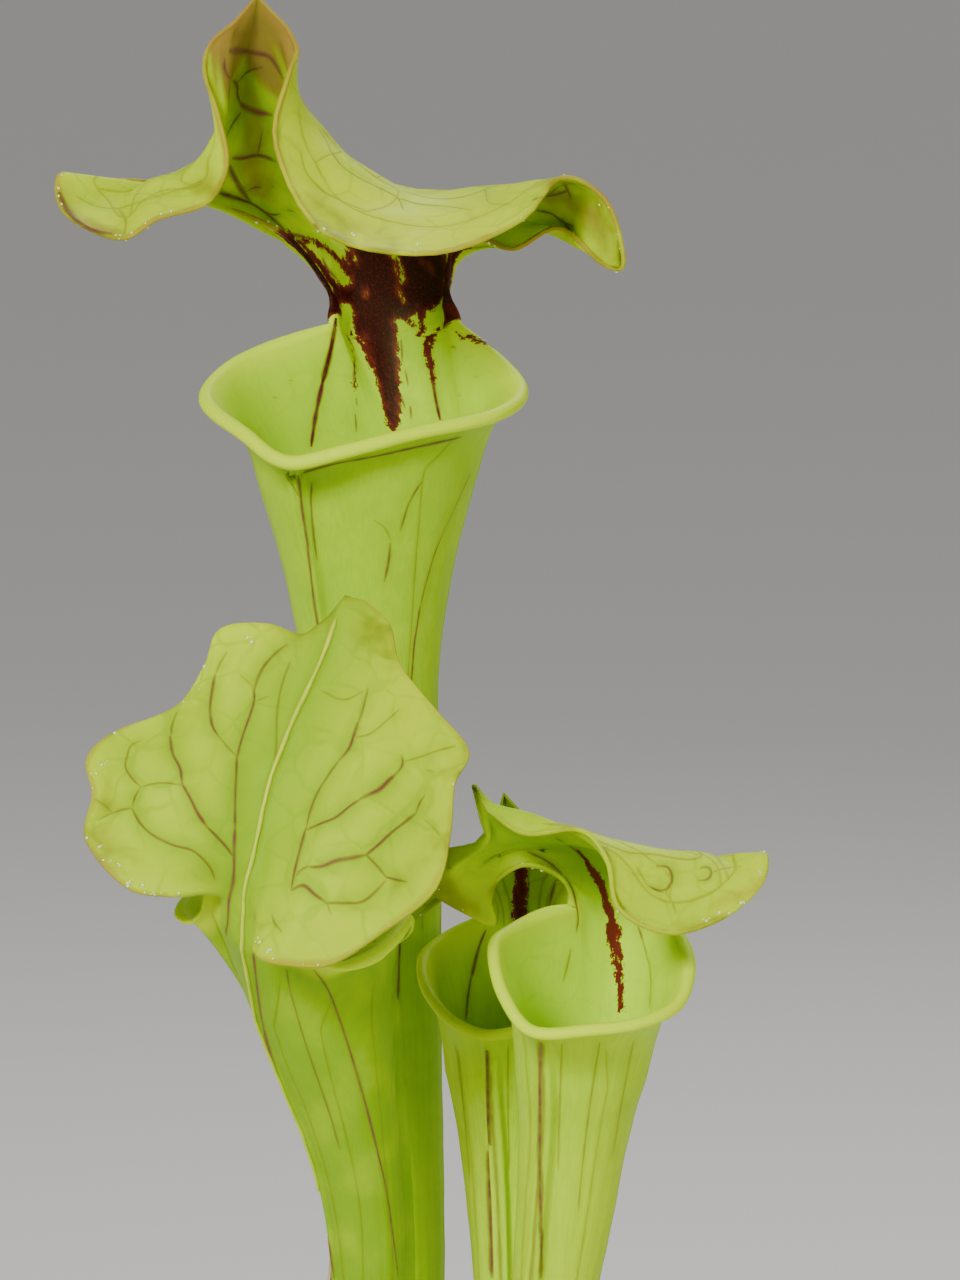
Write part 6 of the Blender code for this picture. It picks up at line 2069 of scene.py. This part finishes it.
def rhizome_point(u, angle):
    """A point of the knobbly stem: u runs from 0 to pi along it, the angle goes round it."""
    wave = 1.0 + 0.1 * np.sin(3.0 * u + 0.8)
    ring = SCALE_RISE * np.abs(np.sin(u * 6.5 + 0.7 * np.sin(angle))) ** 0.6
    spots = np.stack([u * 2.4, np.cos(angle) * 1.6, np.sin(angle) * 1.6], axis=-1).reshape(-1, 3)
    knob = KNOB_RISE * np.array([noise.noise(Vector(spot)) for spot in spots]).reshape(u.shape)
    reach = (RHIZOME_HALF[1] * wave - RHIZOME_SHRINK - SCALE_RISE + ring + knob) * np.sin(u)
    along = -(RHIZOME_HALF[0] - RHIZOME_SHRINK) * np.cos(u)
    return RHIZOME_CENTRE + np.stack([along, reach * np.cos(angle), reach * np.sin(angle)], axis=-1)


def make_rhizome_material():
    made, wires, shader = new_material("rhizome scales")
    bands = wires.noise(wires.stretched(wires.place, 1.0, 0.22, 0.22), 420.0, 4.0)
    fine = wires.noise(wires.place, 800.0, 4.0)
    colour = mottled(wires, Tone_noise=bands, Dark=SCALES_DARK, Light=SCALES_LIGHT, Fleck_noise=fine,
                     Fleck_from=0.55, Fleck_to=0.7, Fleck_share=0.5, Fleck=SCALES_FLECK)
    height = wires.plus(bands, wires.times(fine, 0.5))
    wires.dress(shader, colour, wires.ramp(fine, 0.3, 0.7, 0.6, 0.8), height, 0.8, 0.0006)
    return made


def make_rhizome(material):
    u = np.linspace(0.02, math.pi - 0.02, RHIZOME_ROWS)[:, None] * np.ones(RHIZOME_STEPS)
    angle = np.ones((RHIZOME_ROWS, 1)) * (2 * np.pi * np.arange(RHIZOME_STEPS) / RHIZOME_STEPS)
    rings = rhizome_point(u, angle)
    points, faces = ringed(rings, [rings[0].mean(axis=0), rings[-1].mean(axis=0)])
    return add_piece("rhizome_stem", points, faces[:, ::-1], material)


def strand(path, radii, steps):
    """A round strand along a path."""
    along = unit(np.gradient(path, axis=0))
    side = unit(np.cross(along, [0.31, 0.17, 0.93]))
    up = np.cross(side, along)
    turn = (2 * np.pi * np.arange(steps) / steps)[None, :, None]
    rings = path[:, None] + radii[:, None, None] * (side[:, None] * np.cos(turn) + up[:, None] * np.sin(turn))
    return ringed(rings, [path[0], path[-1]])


def make_roots(material, draw):
    """Thin roots that leave the rhizome at its sides and dive into the medium."""
    strands = []
    way = np.linspace(0.0, 1.0, ROOT_POINTS)
    for _ in range(ROOT_COUNT):
        u, side = draw.uniform(0.5, 2.6), draw.choice([-1.0, 1.0])
        start = rhizome_point(np.array([u]), np.array([0.0 if side > 0 else math.pi]))[0]
        reach, drift = draw.uniform(4.0, 9.0), draw.uniform(-3.0, 3.0)
        x = start[0] + drift * way + 0.5 * np.sin(way * 7 + u)
        y = start[1] + side * (-0.8 + reach * way)
        z = [soil_level(*spot) + 0.9 * (1 - w) - 1.4 * w**2 for spot, w in zip(zip(x, y), way)]
        if any(min(np.hypot(x - fx, y - fy)) < r + ROOT_CLEAR for fx, fy, r in LEAF_FEET):
            continue
        strands.append(strand(np.stack([x, y, z], axis=1), ROOT_RADII[0] - ROOT_RADII[1] * way, ROOT_SIDES))
    return add_piece("rhizome_roots", *joined(strands), material)


rhizome_material = make_rhizome_material()
stem = make_rhizome(rhizome_material)
roots = make_roots(rhizome_material, np.random.default_rng(41))
for piece in (stem, roots):
    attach(piece, "root")
    print(piece.name, len(piece.data.polygons), "faces")
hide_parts("rhizome")

# %% [markdown]
# ## A withered leaf
# A spent leaf dries to a papery strip that stands for months. It is folded along its middle, bowed and turned
# a little, and its margins crinkle. A cloth simulation could crumple it, but not twice in the same way, so a
# grid is bent by a few waves instead.

# %% Withered leaf
DRY_FOOT = (-28.0, 13.0, 95.0)
DRY_TIP = (-25.6, 6.6, 15.0)
DRY_WIDTH = 5.6
DRY_HALF_SHARE = 0.485
DRY_THICK = 0.5
DRY_TROUGH = 0.22
DRY_BOW = np.array([-3.0, 2.0, 0.0])
DRY_CURL = np.array([2.0, -3.5, -1.0])
DRY_TURN = (math.radians(20.0), math.radians(50.0))
DRY_ROWS = 130
DRY_COLUMNS = 22
CRINKLE = 0.28
PLEAT = 0.07
TIP_ROUND = (0.97, 0.032)
DRY_DARK, DRY_LIGHT, DRY_SPOT = (0.30, 0.20, 0.10), (0.56, 0.43, 0.26), (0.15, 0.09, 0.05)


def make_dry_material():
    """Papery straw brown with darker lengthwise veins and grey spots."""
    made, wires, shader = new_material("withered leaf")
    fibre = wires.noise(wires.stretched(wires.place, 1.0, 1.0, 0.05), 900.0, 3.0)
    cloud = wires.noise(wires.place, 90.0, 5.0)
    colour = mottled(wires, Tone_noise=fibre, Dark=DRY_DARK, Light=DRY_LIGHT,
                     Fleck_noise=cloud, Fleck_to=0.72, Fleck_share=0.6, Fleck=DRY_SPOT)
    wires.dress(shader, colour, wires.ramp(cloud, 0.3, 0.7, 0.6, 0.8), fibre, 0.6, 0.0003)
    return made


def make_dry_leaf():
    """A dried strip, folded along its middle, with crinkled margins."""
    foot, tip = np.array(DRY_FOOT), seen(*DRY_TIP)
    front, back = [], []
    for u in np.arange(DRY_ROWS + 1) / DRY_ROWS:
        centre = foot + (tip - foot) * u + DRY_BOW * math.sin(math.pi * u) + DRY_CURL * ease(0.86, 1.0, u)
        width = DRY_WIDTH * (0.8 + 0.35 * math.sin(math.pi * u)) * (1.0 - 0.45 * ease(0.9, 1.0, u))
        if u > TIP_ROUND[0]:
            width *= math.sqrt(max(0.0, 1.0 - ((u - TIP_ROUND[0]) / TIP_ROUND[1]) ** 2))
        turn = DRY_TURN[0] + DRY_TURN[1] * u
        side = np.array([math.cos(turn), math.sin(turn), 0.0])
        out = np.array([math.sin(turn), -math.cos(turn), 0.0])
        for v in 2.0 * np.arange(DRY_COLUMNS + 1) / DRY_COLUMNS - 1.0:
            crinkle = CRINKLE * abs(v) * noise.noise(Vector((v * 2.0, u * 17.0, 3.0)))
            fold = DRY_TROUGH * width * v * v + crinkle + PLEAT * math.sin(v * 15.0 + 2.0 * u)
            spot = centre + side * v * width * DRY_HALF_SHARE + out * fold
            thin = DRY_THICK * (0.35 + 0.65 * (1.0 - v * v))
            front.append(spot + out * thin / 2)
            back.append(spot - out * thin / 2)
    points, count = np.array(front + back), len(front)
    at = np.arange(count).reshape(DRY_ROWS + 1, DRY_COLUMNS + 1)
    a, b, c, d = at[:-1, :-1], at[:-1, 1:], at[1:, 1:], at[1:, :-1]
    rim = np.concatenate([at[0], at[1:, -1], at[-1, -2::-1], at[-2:0:-1, 0]])
    after = np.roll(rim, -1)
    faces = [split_quads(points, a, b, c, d), split_quads(points, d + count, c + count, b + count, a + count),
             split_quads(points, after, rim, rim + count, after + count)]
    return add_piece("withered_leaf", points, np.concatenate(faces), make_dry_material())


dry = make_dry_leaf()
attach(dry, "root")
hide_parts("dry_leaf")
print("withered leaf:", len(dry.data.polygons), "faces")
